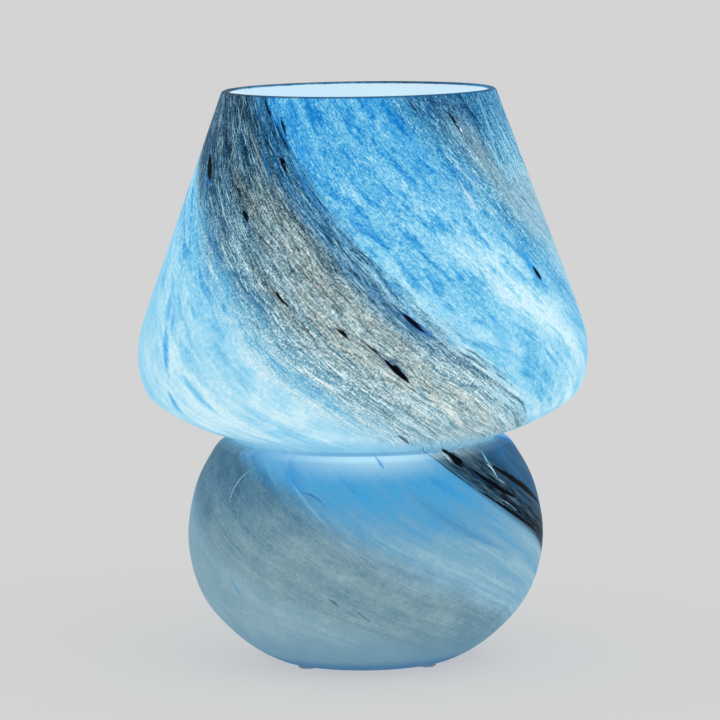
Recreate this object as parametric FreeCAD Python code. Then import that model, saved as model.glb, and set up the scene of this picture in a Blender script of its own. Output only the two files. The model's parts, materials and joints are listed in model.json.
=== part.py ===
import FreeCAD, Part
import math
import os

# One-piece mushroom table lamp: a blown, cased glass body (conical shade, pinched waist and
# squashed round base in one skin), with a lampholder carried on a three-armed bracket that
# stands on the ledge inside the waist. Millimetres, +Z up, origin on the table surface at the
# centre of the foot. The back of the lamp, with the cable hole, faces +Y.

V = FreeCAD.Vector
os.makedirs("parts", exist_ok=True)

# ------------------------------------------------------------------ driving dimensions
FOOT_PAD_H = 1.5          # clear bumpers lift the glass by this much
GLASS_H = 240.0           # height of the glass alone, over the rolled lip (set by the first pole)
WALL_RIM = 4.0            # wall at the rolled top lip
WALL_SHADE = 3.4          # wall on the shade's cone
WALL_WAIST = 4.2          # wall at the pinched waist
WALL_BASE = 4.0           # wall of the base
FLOOR_T = 6.5             # thickness of the closed bottom
FOOT_R_IN = 30.5          # inner edge of the ground flat ring that the body stands on
PUNT_RISE = 3.0           # hollow under the bottom, inside the ground ring

PAD_R = 4.0
PAD_RING_R = 35.3

HOLE_Z = 27.0             # height of the drilled cable hole, above the glass foot
HOLE_R = 5.0
CABLE_BORE_R = 3.3        # grommet bore, for a round 6 mm mains lead
GROMMET_FLANGE_R = 7.6

PLATE_Z = 103.3           # underside of the bracket's strip
PLATE_T = 1.5
HUB_R = 21.0
ARM_W = 11.0
ARM_TIP_R = 59.4
ARM_ANGLES = (90.0, 210.0, 330.0)

TUBE_R = 5.0              # M10 x 1 hollow threaded tube
TUBE_BORE_R = 3.9

TIP_Z = 128.6             # underside of the bulb's contact when screwed home
CAP_LEN = 27.0            # E27 cap from tip to skirt
BULB_LEN = 76.0
GLOBE_R = 22.5
SCREW_R = 13.05           # crest radius of the E27 shell
HOLDER_BORE_R = 13.8
THREAD_PITCH = 3.62       # E27 pitch, seven turns to the inch

# ------------------------------------------------------------------ outer line of the glass
# Poles of a clamped uniform cubic B-spline, (radius, height above the glass foot), from the
# top lip down the cone, round the shoulder, in to the waist, and round the base to the foot.
OUTER_POLES = [
    (57.75, 238.7), (64.40, 220.4), (71.45, 201.4), (78.68, 181.5), (86.30, 160.9),
    (94.20, 139.6), (95.60, 128.6), (93.20, 114.2), (87.00, 108.6), (74.00, 100.8),
    (62.80, 96.9), (56.60, 95.2), (54.40, 93.5), (56.80, 92.5), (61.90, 91.8),
    (65.40, 85.4), (70.90, 76.6), (74.20, 64.9), (76.25, 51.5), (74.00, 36.7),
    (68.80, 24.0), (60.50, 14.5), (52.40, 7.0), (45.40, 2.4), (40.00, 0.0),
]


def clamped_spline(poles):
    n = len(poles)
    spans = n - 3
    curve = Part.BSplineCurve()
    curve.buildFromPolesMultsKnots(
        [V(r, 0, z + FOOT_PAD_H) for r, z in poles],
        [4] + [1] * (spans - 1) + [4],
        [i / spans for i in range(spans + 1)],
        False,
        3,
    )
    return curve


def wall_at(z, above_waist):
    """Wall thickness at a height above the glass foot."""
    if above_waist:
        if z > 225.0:
            return WALL_SHADE + (WALL_RIM - WALL_SHADE) * (z - 225.0) / 15.0
        if z < 112.0:
            return WALL_WAIST + (WALL_SHADE - WALL_WAIST) * max(0.0, z - 94.0) / 18.0
        return WALL_SHADE
    if z > 84.0:
        return WALL_WAIST
    if z < 20.0:
        return WALL_BASE + 1.6 * (20.0 - z) / 20.0
    return WALL_BASE


outer_curve = clamped_spline(OUTER_POLES)
u0, u1 = outer_curve.FirstParameter, outer_curve.LastParameter
WAIST_U = min((outer_curve.value(u0 + (u1 - u0) * k / 2000.0).x, u0 + (u1 - u0) * k / 2000.0)
              for k in range(800, 1300))[1]


def inner_point(u):
    """Point of the inner wall, square to the outer line. The line runs downwards."""
    p = outer_curve.value(u)
    t = outer_curve.tangent(u)[0]
    w = wall_at(p.z - FOOT_PAD_H, u < WAIST_U)
    return V(p.x + t.z * w, 0, p.z - t.x * w)


floor_z = FOOT_PAD_H + PUNT_RISE + FLOOR_T
COUNT = 60
samples = [inner_point(u0 + (u1 - u0) * k / COUNT * 0.91) for k in range(COUNT + 1)]
samples = [p for p in samples if p.z > floor_z + 5.0]
samples += [V(44.0, 0, floor_z + 0.55), V(36.0, 0, floor_z + 0.12)]
inner_curve = Part.BSplineCurve()
inner_curve.interpolate(samples)

# the lip is rolled: half a circle from the outer line to the inner one
lip_out = outer_curve.value(u0)
lip_in = samples[0]
lip_dir = outer_curve.tangent(u0)[0] * -1.0
lip_mid = (lip_out + lip_in) * 0.5 + lip_dir * (WALL_RIM / 2.0)
foot_z = FOOT_PAD_H
punt_r = FOOT_R_IN - 3.5
edges = [
    outer_curve.toShape(),
    Part.LineSegment(V(OUTER_POLES[-1][0], 0, foot_z), V(FOOT_R_IN, 0, foot_z)).toShape(),
    Part.LineSegment(V(FOOT_R_IN, 0, foot_z), V(punt_r, 0, foot_z + PUNT_RISE - 0.6)).toShape(),
    Part.LineSegment(V(punt_r, 0, foot_z + PUNT_RISE - 0.6), V(0, 0, foot_z + PUNT_RISE)).toShape(),
    Part.LineSegment(V(0, 0, foot_z + PUNT_RISE), V(0, 0, floor_z)).toShape(),
    Part.LineSegment(V(0, 0, floor_z), samples[-1]).toShape(),
    inner_curve.toShape(),
    Part.Arc(lip_in, lip_mid, lip_out).toShape(),
]
profile = Part.Wire(Part.__sortEdges__(edges))
glass = Part.Face(profile).revolve(V(0, 0, 0), V(0, 0, 1), 360.0)
if glass.ShapeType != "Solid":
    glass = glass.Solids[0]


def surface_at(z):
    """Outer point of the base at a height above the table, and the outward normal there."""
    best = None
    for k in range(1300, 2001):
        u = u0 + (u1 - u0) * k / 2000.0
        p = outer_curve.value(u)
        if best is None or abs(p.z - z) < abs(best[0].z - z):
            t = outer_curve.tangent(u)[0]
            best = (p, V(-t.z, 0, t.x))
    return best


# ------------------------------------------------------------------ helpers
def cyl(r, h, z, x=0.0, y=0.0):
    return Part.makeCylinder(r, h, V(x, y, z))


def tube(ro, ri, h, z, x=0.0, y=0.0):
    return cyl(ro, h, z, x, y).cut(cyl(ri, h + 2.0, z - 1.0, x, y))


def turned(points, angle=360.0):
    """Solid of revolution about Z from a closed list of (radius, height)."""
    pts = [V(r, 0, z) for r, z in points]
    wire = Part.makePolygon(pts + [pts[0]])
    return Part.Face(wire).revolve(V(0, 0, 0), V(0, 0, 1), angle)


def hex_prism(across_flats, h, z, turn=0.0):
    rc = across_flats / 2.0 / math.cos(math.pi / 6.0)
    pts = [V(rc * math.cos(math.radians(60 * k + turn)), rc * math.sin(math.radians(60 * k + turn)), z)
           for k in range(6)]
    return Part.Face(Part.makePolygon(pts + [pts[0]])).extrude(V(0, 0, h))


def placed(shape, angle):
    s = shape.copy()
    s.rotate(V(0, 0, 0), V(0, 0, 1), angle)
    return s


def along(shape, origin, direction):
    """Moves a shape built about +Z at the origin so that its +Z lies along direction."""
    s = shape.copy()
    s.Placement = FreeCAD.Placement(origin, FreeCAD.Rotation(V(0, 0, 1), direction))
    return s


def strip(path, bend_r, thick, width):
    """Bent flat strip. path is a list of (radius, height) corners of its middle line."""
    pts = [V(r, 0, z) for r, z in path]
    side = {1: [], -1: []}
    for s in (1, -1):
        off = s * thick / 2.0
        last = None
        for i in range(len(pts)):
            if i == 0 or i == len(pts) - 1:
                d = (pts[1] - pts[0]) if i == 0 else (pts[-1] - pts[-2])
                d.normalize()
                n = V(-d.z, 0, d.x)
                q = pts[i] + n * off
                if last is not None:
                    side[s].append(Part.LineSegment(last, q).toShape())
                last = q
                continue
            d1 = pts[i] - pts[i - 1]
            d2 = pts[i + 1] - pts[i]
            d1.normalize()
            d2.normalize()
            turn = math.acos(max(-1.0, min(1.0, d1.dot(d2))))
            back = bend_r * math.tan(turn / 2.0)
            n1 = V(-d1.z, 0, d1.x)
            n2 = V(-d2.z, 0, d2.x)
            left = d1.x * d2.z - d1.z * d2.x > 0
            centre = pts[i] - d1 * back + n1 * (bend_r if left else -bend_r)
            a = pts[i] - d1 * back + n1 * off
            b = pts[i] + d2 * back + n2 * off
            radius = bend_r - off if left else bend_r + off
            toward = pts[i] - centre
            toward.normalize()
            mid = centre + toward * radius
            side[s].append(Part.LineSegment(last, a).toShape())
            side[s].append(Part.Arc(a, mid, b).toShape())
            last = b
        side[s].append(last)
    ends = []
    first = {}
    for s in (1, -1):
        d = pts[1] - pts[0]
        d.normalize()
        first[s] = pts[0] + V(-d.z, 0, d.x) * (s * thick / 2.0)
    ends.append(Part.LineSegment(first[1], first[-1]).toShape())
    ends.append(Part.LineSegment(side[1][-1], side[-1][-1]).toShape())
    wire = Part.Wire(Part.__sortEdges__(side[1][:-1] + side[-1][:-1] + ends))
    face = Part.Face(wire)
    face.translate(V(0, -width / 2.0, 0))
    return face.extrude(V(0, width, 0))


def group(shapes):
    return Part.makeCompound(shapes)


made = {}


def keep(name, shape):
    made[name] = shape


# ------------------------------------------------------------------ cable hole and grommet
hole_p, hole_n = surface_at(FOOT_PAD_H + HOLE_Z)
hole_p = V(0, hole_p.x, hole_p.z)
hole_n = V(0, hole_n.x, hole_n.z)
hole_n.normalize()
drill = along(Part.makeCylinder(HOLE_R, 14.0, V(0, 0, -10.0)), hole_p, hole_n)
glass = glass.cut(drill)
keep("glass_body", glass)

neck_len = WALL_BASE + 0.85
g_profile = [
    (CABLE_BORE_R, 2.6), (CABLE_BORE_R, -neck_len - 2.0), (6.4, -neck_len - 2.0),
    (GROMMET_FLANGE_R - 0.6, -neck_len - 1.4), (GROMMET_FLANGE_R - 0.6, -neck_len),
    (HOLE_R - 0.12, -neck_len), (HOLE_R - 0.12, 0.12), (GROMMET_FLANGE_R, 0.12),
    (GROMMET_FLANGE_R, 0.9), (6.2, 2.2), (5.4, 2.6),
]
grommet = turned(g_profile)
keep("cable_grommet", along(grommet, hole_p, hole_n))

# ------------------------------------------------------------------ foot bumpers
pads = []
for k in range(4):
    a = math.radians(45.0 + 90.0 * k)
    px, py = PAD_RING_R * math.cos(a), PAD_RING_R * math.sin(a)
    pad = Part.makeCylinder(PAD_R, FOOT_PAD_H, V(px, py, 0))
    low = [e for e in pad.Edges if abs(e.BoundBox.ZMin) < 1e-6 and abs(e.BoundBox.ZMax) < 1e-6]
    pads.append(pad.makeFillet(0.7, low))
keep("foot_bumpers", group(pads))

# ------------------------------------------------------------------ bracket
plate_top = PLATE_Z + PLATE_T
hub = cyl(HUB_R, PLATE_T, PLATE_Z)
plate = hub
for a in ARM_ANGLES:
    arm = Part.makeBox(ARM_TIP_R - ARM_W / 2.0, ARM_W, PLATE_T, V(0, -ARM_W / 2.0, PLATE_Z))
    arm = arm.fuse(cyl(ARM_W / 2.0, PLATE_T, PLATE_Z, ARM_TIP_R - ARM_W / 2.0, 0))
    plate = plate.fuse(placed(arm, a))
plate = plate.removeSplitter()
cutters = [cyl(TUBE_R + 0.15, 10, PLATE_Z - 4)]
for a in ARM_ANGLES:
    # screw hole for the clip, and a lightening hole in the hub between the arms
    cutters.append(placed(cyl(1.65, 10, PLATE_Z - 4, 35.0, 0), a))
    cutters.append(placed(cyl(3.2, 10, PLATE_Z - 4, 14.2, 0), a + 60.0))
for c in cutters:
    plate = plate.cut(c)
rims = [e for e in plate.Edges if abs(e.BoundBox.ZMax - plate_top) < 1e-6 and abs(e.BoundBox.ZMin - plate_top) < 1e-6
        and e.BoundBox.DiagonalLength > 12.0]
try:
    plate = plate.makeChamfer(0.25, rims)
except Exception:
    pass
keep("support_bracket", plate)

# soft sleeves that the arms' ends wear, so that metal never touches the glass
sleeve_w, sleeve_t = ARM_W + 2.6, 1.25
sleeves = []
body = Part.makeBox(10.6, sleeve_w, PLATE_T + 2 * sleeve_t,
                    V(ARM_TIP_R - 9.4, -sleeve_w / 2.0, PLATE_Z - sleeve_t))
vert = [e for e in body.Edges if abs(e.BoundBox.ZLength - (PLATE_T + 2 * sleeve_t)) < 1e-6 and e.BoundBox.XMin > ARM_TIP_R]
body = body.makeFillet(4.4, vert)
rest_edges = [e for e in body.Edges if e.BoundBox.ZLength < 1e-6]
try:
    body = body.makeFillet(0.5, rest_edges)
except Exception:
    pass
pocket = Part.makeBox(ARM_TIP_R - ARM_W / 2.0, ARM_W + 0.08, PLATE_T + 0.08, V(0, -(ARM_W + 0.08) / 2.0, PLATE_Z - 0.04))
pocket = pocket.fuse(cyl(ARM_W / 2.0 + 0.04, PLATE_T + 0.08, PLATE_Z - 0.04, ARM_TIP_R - ARM_W / 2.0, 0))
sleeve = body.cut(pocket)
for a in ARM_ANGLES:
    sleeves.append(placed(sleeve, a))
keep("arm_sleeves", group(sleeves))

# spring clips that pass down through the waist and spread under its ridge
clip_t = 0.6
clip_z = PLATE_Z - 0.02 - clip_t / 2.0
clip_path = [(29.5, clip_z), (45.4, clip_z), (47.0, 86.6), (55.6, 90.0), (58.0, 87.4)]
clip = strip(clip_path, 1.3, clip_t, 8.0)
clip = clip.cut(cyl(1.65, 10, PLATE_Z - 6, 35.0, 0))
keep("spring_clips", group([placed(clip, a) for a in ARM_ANGLES]))

# pan-head screws through clip and arm, each with a hexagon nut underneath
screws, nuts = [], []
for a in ARM_ANGLES:
    head = turned([(0, plate_top + 2.0), (0, plate_top + 0.02), (2.9, plate_top + 0.02), (2.9, plate_top + 0.9), (2.1, plate_top + 1.7), (1.0, plate_top + 2.0)])
    shank = cyl(1.5, 6.6, PLATE_Z - 5.0)
    s = head.fuse(shank).removeSplitter()
    s = s.cut(Part.makeBox(3.4, 0.6, 1.2, V(-1.7, -0.3, plate_top + 1.1))).cut(
        Part.makeBox(0.6, 3.4, 1.2, V(-0.3, -1.7, plate_top + 1.1)))
    s.translate(V(35.0, 0, 0))
    screws.append(placed(s, a))
    nut = hex_prism(5.5, 2.3, PLATE_Z - 0.02 - clip_t - 0.02 - 2.3).cut(cyl(1.53, 8, PLATE_Z - 6))
    nut.translate(V(35.0, 0, 0))
    nuts.append(placed(nut, a))
keep("clip_screws", group(screws))
keep("clip_nuts", group(nuts))

# ------------------------------------------------------------------ threaded tube and its parts
tube_low = PLATE_Z - 17.0
tube_high = plate_top + 9.0
keep("threaded_tube", tube(TUBE_R, TUBE_BORE_R, tube_high - tube_low, tube_low))

washer_h = 0.9
star = tube(9.2, TUBE_R + 0.12, washer_h, PLATE_Z - 0.01 - washer_h)
for k in range(12):
    notch = Part.makeBox(2.6, 1.3, 3.0, V(7.4, -0.65, PLATE_Z - 2.2))
    star = star.cut(placed(notch, 30.0 * k))
keep("lock_washer", star)
nut_h = 3.2
nut_z = PLATE_Z - 0.02 - washer_h - nut_h
keep("tube_locknut", hex_prism(14.0, nut_h, nut_z, 30.0).cut(cyl(TUBE_R + 0.03, 10, nut_z - 3)))

# nylon cord grip on the tube's lower end, with its clamping screw and saddle
grip_top = nut_z - 0.2
grip_bot = tube_low - 10.5
grip = hex_prism(16.0, grip_top - grip_bot, grip_bot).common(turned([
    (0, grip_bot), (7.4, grip_bot), (9.3, grip_bot + 1.6), (9.3, grip_top - 0.8), (8.6, grip_top), (0, grip_top)]))
grip = grip.cut(cyl(TUBE_R + 0.03, 40, tube_low - 0.1)).cut(cyl(CABLE_BORE_R + 0.1, 40, grip_bot - 5))
screw_hole = Part.makeCylinder(1.55, 14.0, V(CABLE_BORE_R, 0, grip_bot + 5.0), V(1, 0, 0))
grip = grip.cut(screw_hole)
keep("cord_grip", grip)
gs = Part.makeCylinder(1.5, 6.4, V(CABLE_BORE_R + 0.3, 0, grip_bot + 5.0), V(1, 0, 0))
gh = Part.makeCylinder(2.7, 1.8, V(CABLE_BORE_R + 6.2, 0, grip_bot + 5.0), V(1, 0, 0))
gscrew = gs.fuse(gh).removeSplitter().cut(
    Part.makeBox(1.0, 5.6, 0.7, V(CABLE_BORE_R + 7.4, -2.8, grip_bot + 4.65)))
keep("cord_grip_screw", gscrew)

# ------------------------------------------------------------------ lampholder, E27, three parts
h0 = plate_top + 0.03
cap_pts = [
    (TUBE_R + 0.03, h0), (9.2, h0), (9.2, h0 + 4.6), (10.4, h0 + 6.0), (17.2, h0 + 10.6), (18.4, h0 + 12.4),
    (18.4, h0 + 16.0), (16.9, h0 + 16.0), (16.9, h0 + 22.0), (14.8, h0 + 22.0), (14.8, h0 + 14.2),
    (11.0, h0 + 9.6), (TUBE_R + 0.03, h0 + 9.0),
]
holder_cap = turned(cap_pts)
grub_z = h0 + 2.6
grub_dir = V(math.cos(math.radians(30)), math.sin(math.radians(30)), 0)
holder_cap = holder_cap.cut(Part.makeCylinder(1.55, 8.0, grub_dir * 4.0 + V(0, 0, grub_z), grub_dir))
keep("holder_cap", holder_cap)
grub = Part.makeCylinder(1.5, 4.4, grub_dir * 5.06 + V(0, 0, grub_z), grub_dir)
slot = Part.makeBox(0.9, 3.4, 0.6, V(8.7, -1.7, grub_z - 0.3))
keep("holder_grub_screw", grub.cut(placed(slot, 30.0)))

ins_z = h0 + 22.02                      # top of the cap's neck carries the insert's flange
ins_pts = [
    (0, ins_z - 7.4), (13.6, ins_z - 7.4), (14.4, ins_z - 6.6), (14.4, ins_z), (16.8, ins_z), (16.8, ins_z + 3.6),
    (13.95, ins_z + 3.6), (13.95, ins_z - 1.2), (0, ins_z - 1.2),
]
insert = turned(ins_pts)
for sx in (-1, 1):
    insert = insert.cut(cyl(1.7, 20, ins_z - 12, 9.6 * sx, 0))
    insert = insert.cut(cyl(1.9, 20, ins_z - 12, 5.0 * sx, 8.2))
keep("holder_insert", insert)

shell_top = h0 + 47.0
shell_pts = [
    (16.98, h0 + 16.05), (18.7, h0 + 16.05), (19.5, h0 + 17.2), (19.5, shell_top - 1.4), (18.6, shell_top),
    (15.2, shell_top), (14.3, shell_top - 1.2), (HOLDER_BORE_R, shell_top - 1.8),
    (HOLDER_BORE_R, ins_z + 3.65), (16.98, ins_z + 3.65),
]
shell = turned(shell_pts)
flutes = []
for k in range(24):
    flutes.append(placed(cyl(0.75, 9.6, h0 + 19.0, 19.85, 0), 15.0 * k))
shell = shell.cut(group(flutes))
keep("holder_shell", shell)

# contacts: a centre tongue on the insert's floor, and a side tongue up the bore
floor = ins_z - 1.2 + 0.02
tongue = Part.makeBox(13.4, 5.0, 0.45, V(-2.6, -2.5, floor))
bump = turned([(0, floor + 0.4), (2.4, floor + 0.4), (1.7, TIP_Z - 0.12), (0, TIP_Z - 0.12)])
tongue = tongue.fuse(bump).removeSplitter()
tongue = tongue.cut(cyl(1.6, 4, floor - 1, 9.6, 0))
keep("centre_contact", tongue)
side_pts = [(13.36, floor), (13.74, floor), (13.74, floor + 13.0), (13.36, floor + 13.0)]
side_strip = turned(side_pts, 24.0)
side_strip.rotate(V(0, 0, 0), V(0, 0, 1), 180.0 - 12.0)
foot_pts = [(7.2, floor), (13.5, floor), (13.5, floor + 0.45), (7.2, floor + 0.45)]
side_foot = turned(foot_pts, 24.0)
side_foot.rotate(V(0, 0, 0), V(0, 0, 1), 180.0 - 12.0)
side_contact = side_strip.fuse(side_foot).removeSplitter().cut(cyl(1.6, 4, floor - 1, -9.6, 0))
keep("side_contact", side_contact)
terms = []
for sx in (-1, 1):
    t = turned([(0, floor + 1.6), (0, floor + 0.47), (2.6, floor + 0.47), (2.6, floor + 1.1), (1.6, floor + 1.6)])
    t = t.fuse(cyl(1.5, 9.0, floor + 0.6 - 9.0)).removeSplitter()
    t = t.cut(Part.makeBox(4.2, 0.6, 1.4, V(-2.1, -0.3, floor + 1.1)))
    t.translate(V(9.6 * sx, 0, 0))
    terms.append(t)
keep("terminal_screws", group(terms))

# ------------------------------------------------------------------ bulb, E27 opal globe
globe_c = TIP_Z + BULB_LEN - GLOBE_R
cap_top = TIP_Z + CAP_LEN
keep("bulb_tip_contact", turned([
    (0, TIP_Z), (1.6, TIP_Z), (3.2, TIP_Z + 0.5), (4.6, TIP_Z + 0.9), (4.6, TIP_Z + 1.4), (1.4, TIP_Z + 1.4), (1.4, TIP_Z + 3.4),
    (0, TIP_Z + 3.4)]))
keep("bulb_insulator", turned([
    (1.45, TIP_Z + 1.45), (5.2, TIP_Z + 1.45), (10.6, TIP_Z + 4.4), (11.4, TIP_Z + 5.4), (11.4, TIP_Z + 7.4), (1.45, TIP_Z + 7.4)]))
shell_low = TIP_Z + 5.0
keep("bulb_screw_shell", turned([
    (11.45, shell_low), (12.2, shell_low), (SCREW_R, shell_low + 1.6), (SCREW_R, cap_top - 1.0), (13.3, cap_top),
    (12.75, cap_top), (12.5, cap_top - 1.0), (12.5, shell_low + 2.0), (11.45, shell_low + 1.0)]))
skirt_r = math.sqrt(GLOBE_R ** 2 - 12.6 ** 2)
seam_z = globe_c - 12.6
keep("bulb_housing", turned([
    (12.45, cap_top - 6.0), (12.45, cap_top + 0.03), (13.7, cap_top + 0.03), (14.6, cap_top + 1.4), (17.0, seam_z - 3.2),
    (skirt_r + 0.15, seam_z - 0.05), (17.3, seam_z - 0.05), (16.7, seam_z - 1.72), (14.4, seam_z - 1.72),
    (14.4, seam_z - 3.4), (12.6, cap_top + 1.4), (11.2, cap_top - 6.0)]))
ball = Part.makeSphere(GLOBE_R, V(0, 0, globe_c)).cut(Part.makeSphere(GLOBE_R - 1.3, V(0, 0, globe_c)))
ball = ball.cut(Part.makeBox(80, 80, 40, V(-40, -40, seam_z - 40.0)))
keep("bulb_globe", ball)
board = cyl(16.55, 1.6, seam_z - 1.7)
keep("led_board", board)
chips = []
for k in range(10):
    a = math.radians(36.0 * k)
    chips.append(Part.makeBox(2.8, 2.8, 0.7, V(10.2 * math.cos(a) - 1.4, 10.2 * math.sin(a) - 1.4, seam_z - 0.08)))
for k in range(4):
    a = math.radians(90.0 * k + 45.0)
    chips.append(Part.makeBox(2.8, 2.8, 0.7, V(4.2 * math.cos(a) - 1.4, 4.2 * math.sin(a) - 1.4, seam_z - 0.08)))
keep("led_chips", group(chips))
driver = Part.makeBox(15.0, 1.2, 14.0, V(-7.5, -0.6, TIP_Z + 9.0)).fuse(
    Part.makeBox(22.2, 1.2, 9.4, V(-11.1, -0.6, cap_top - 5.8)))
coil = Part.makeCylinder(3.6, 6.6, V(-2.4, 0.4, TIP_Z + 14.0), V(0, 1, 0))
can = Part.makeCylinder(3.1, 9.4, V(2.6, -3.5, TIP_Z + 17.0))
keep("driver_board", driver.fuse(coil).fuse(can).removeSplitter())

# ------------------------------------------------------------------ write every piece
total = 0
for name, shape in made.items():
    ok = shape.isValid()
    vols = [round(s.Volume, 1) for s in shape.Solids]
    total += len(vols)
    print(f"{name:20s} valid={ok} solids={len(vols)} volume={sum(vols):.1f}")
    shape.exportStep(f"parts/{name}.step")
bb = Part.makeCompound(list(made.values())).optimalBoundingBox(False)
print("nodes", len(made), "solids", total, "box", [round(x, 2) for x in (bb.XMin, bb.XMax, bb.YMin, bb.YMax, bb.ZMin, bb.ZMax)])
print("cable hole", [round(x, 3) for x in hole_p], "axis", [round(x, 4) for x in hole_n], "floor", floor_z)
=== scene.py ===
import json
import math
import bpy
import bmesh
import numpy as np
from mathutils import Matrix, Vector


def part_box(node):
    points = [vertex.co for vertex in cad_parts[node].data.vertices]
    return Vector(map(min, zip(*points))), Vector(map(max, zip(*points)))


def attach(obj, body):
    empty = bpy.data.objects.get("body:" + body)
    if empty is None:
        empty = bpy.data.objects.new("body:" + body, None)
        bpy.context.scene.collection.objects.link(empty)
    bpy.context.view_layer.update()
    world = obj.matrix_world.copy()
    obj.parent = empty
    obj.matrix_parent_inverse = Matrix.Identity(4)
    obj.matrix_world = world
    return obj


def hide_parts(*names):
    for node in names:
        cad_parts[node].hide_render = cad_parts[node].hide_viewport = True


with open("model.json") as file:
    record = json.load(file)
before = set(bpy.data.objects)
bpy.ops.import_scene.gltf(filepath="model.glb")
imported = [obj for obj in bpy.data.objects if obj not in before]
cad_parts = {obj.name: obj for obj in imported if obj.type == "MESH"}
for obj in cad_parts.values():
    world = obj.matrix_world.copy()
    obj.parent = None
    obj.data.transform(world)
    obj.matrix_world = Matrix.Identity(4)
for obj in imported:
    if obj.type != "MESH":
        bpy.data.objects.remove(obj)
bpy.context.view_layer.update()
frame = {"nodes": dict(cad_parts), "record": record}
nodes = frame["nodes"]

# =====================================================================================
# Scene: one large floor, an even pale surround, one broad soft key from the right
# =====================================================================================
scene = bpy.context.scene
scene.view_settings.view_transform = "Standard"
scene.view_settings.look = "None"
scene.view_settings.exposure = 0.0
scene.view_settings.gamma = 1.0


def srgb(r, g, b):
    """8-bit display colour to linear."""
    out = []
    for v in (r, g, b):
        v = v / 255.0
        out.append(v / 12.92 if v <= 0.04045 else ((v + 0.055) / 1.055) ** 2.4)
    return out


SURROUND = srgb(212, 212, 212)[0]
FLOOR_ALBEDO = 0.25          # the rest of its paleness is its own glow, so shadows stay faint
FLOOR_GLOW = 0.4754

world = bpy.data.worlds.new("studio")
scene.world = world
world.use_nodes = True
world.node_tree.nodes["Background"].inputs["Color"].default_value = (1.0, 1.0, 1.0, 1.0)
world.node_tree.nodes["Background"].inputs["Strength"].default_value = SURROUND

# camera: 1.6 m in front, a little above the top of the lamp, rolled a touch
cam_data = bpy.data.cameras.new("camera")
cam = bpy.data.objects.new("camera", cam_data)
scene.collection.objects.link(cam)
scene.camera = cam
cam_data.sensor_width = 36.0
cam_data.lens = 190.74
cam_data.clip_start, cam_data.clip_end = 0.05, 200.0
CAM_AT = Vector((0.0, -1.6, 0.33376))
AIM = Vector((0.0, 0.0, 0.1165))
FOCAL_PX = 3814.85
ROLL = math.radians(-0.773)
d = (AIM - CAM_AT).normalized()
right0 = d.cross(Vector((0, 0, 1))).normalized()
up0 = right0.cross(d)
right1 = right0 * math.cos(ROLL) + up0 * math.sin(ROLL)
up1 = up0 * math.cos(ROLL) - right0 * math.sin(ROLL)
d2 = (d + right1 * (-3.4 / FOCAL_PX) + up1 * (24.2 / FOCAL_PX)).normalized()
right2 = (right1 - d2 * right1.dot(d2)).normalized()
up2 = right2.cross(d2)
m = Matrix((right2, up2, -d2)).transposed().to_4x4()
m.translation = CAM_AT
cam.matrix_world = m

sun_data = bpy.data.lights.new("key", "SUN")
sun = bpy.data.objects.new("key", sun_data)
scene.collection.objects.link(sun)
sun_dir = Vector((-0.42, 0.46, -0.78)).normalized()
sun.rotation_mode = "QUATERNION"
sun.rotation_quaternion = sun_dir.to_track_quat("-Z", "Y")
sun_data.angle = math.radians(50.0)
sun_data.color = (1.0, 1.0, 1.0)
sun_data.energy = math.pi * ((SURROUND - FLOOR_GLOW) / FLOOR_ALBEDO - SURROUND) / 0.78


# =====================================================================================
# A small language for shader graphs: sockets that add and multiply
# =====================================================================================
class Sock:
    def __init__(self, g, s):
        self.g, self.s = g, s

    def __add__(self, o):
        return self.g.math("ADD", self, o)

    __radd__ = __add__

    def __sub__(self, o):
        return self.g.math("SUBTRACT", self, o)

    def __rsub__(self, o):
        return self.g.math("SUBTRACT", o, self)

    def __mul__(self, o):
        return self.g.math("MULTIPLY", self, o)

    __rmul__ = __mul__

    def __truediv__(self, o):
        return self.g.math("DIVIDE", self, o)

    def __neg__(self):
        return self.g.math("MULTIPLY", self, -1.0)


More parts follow.
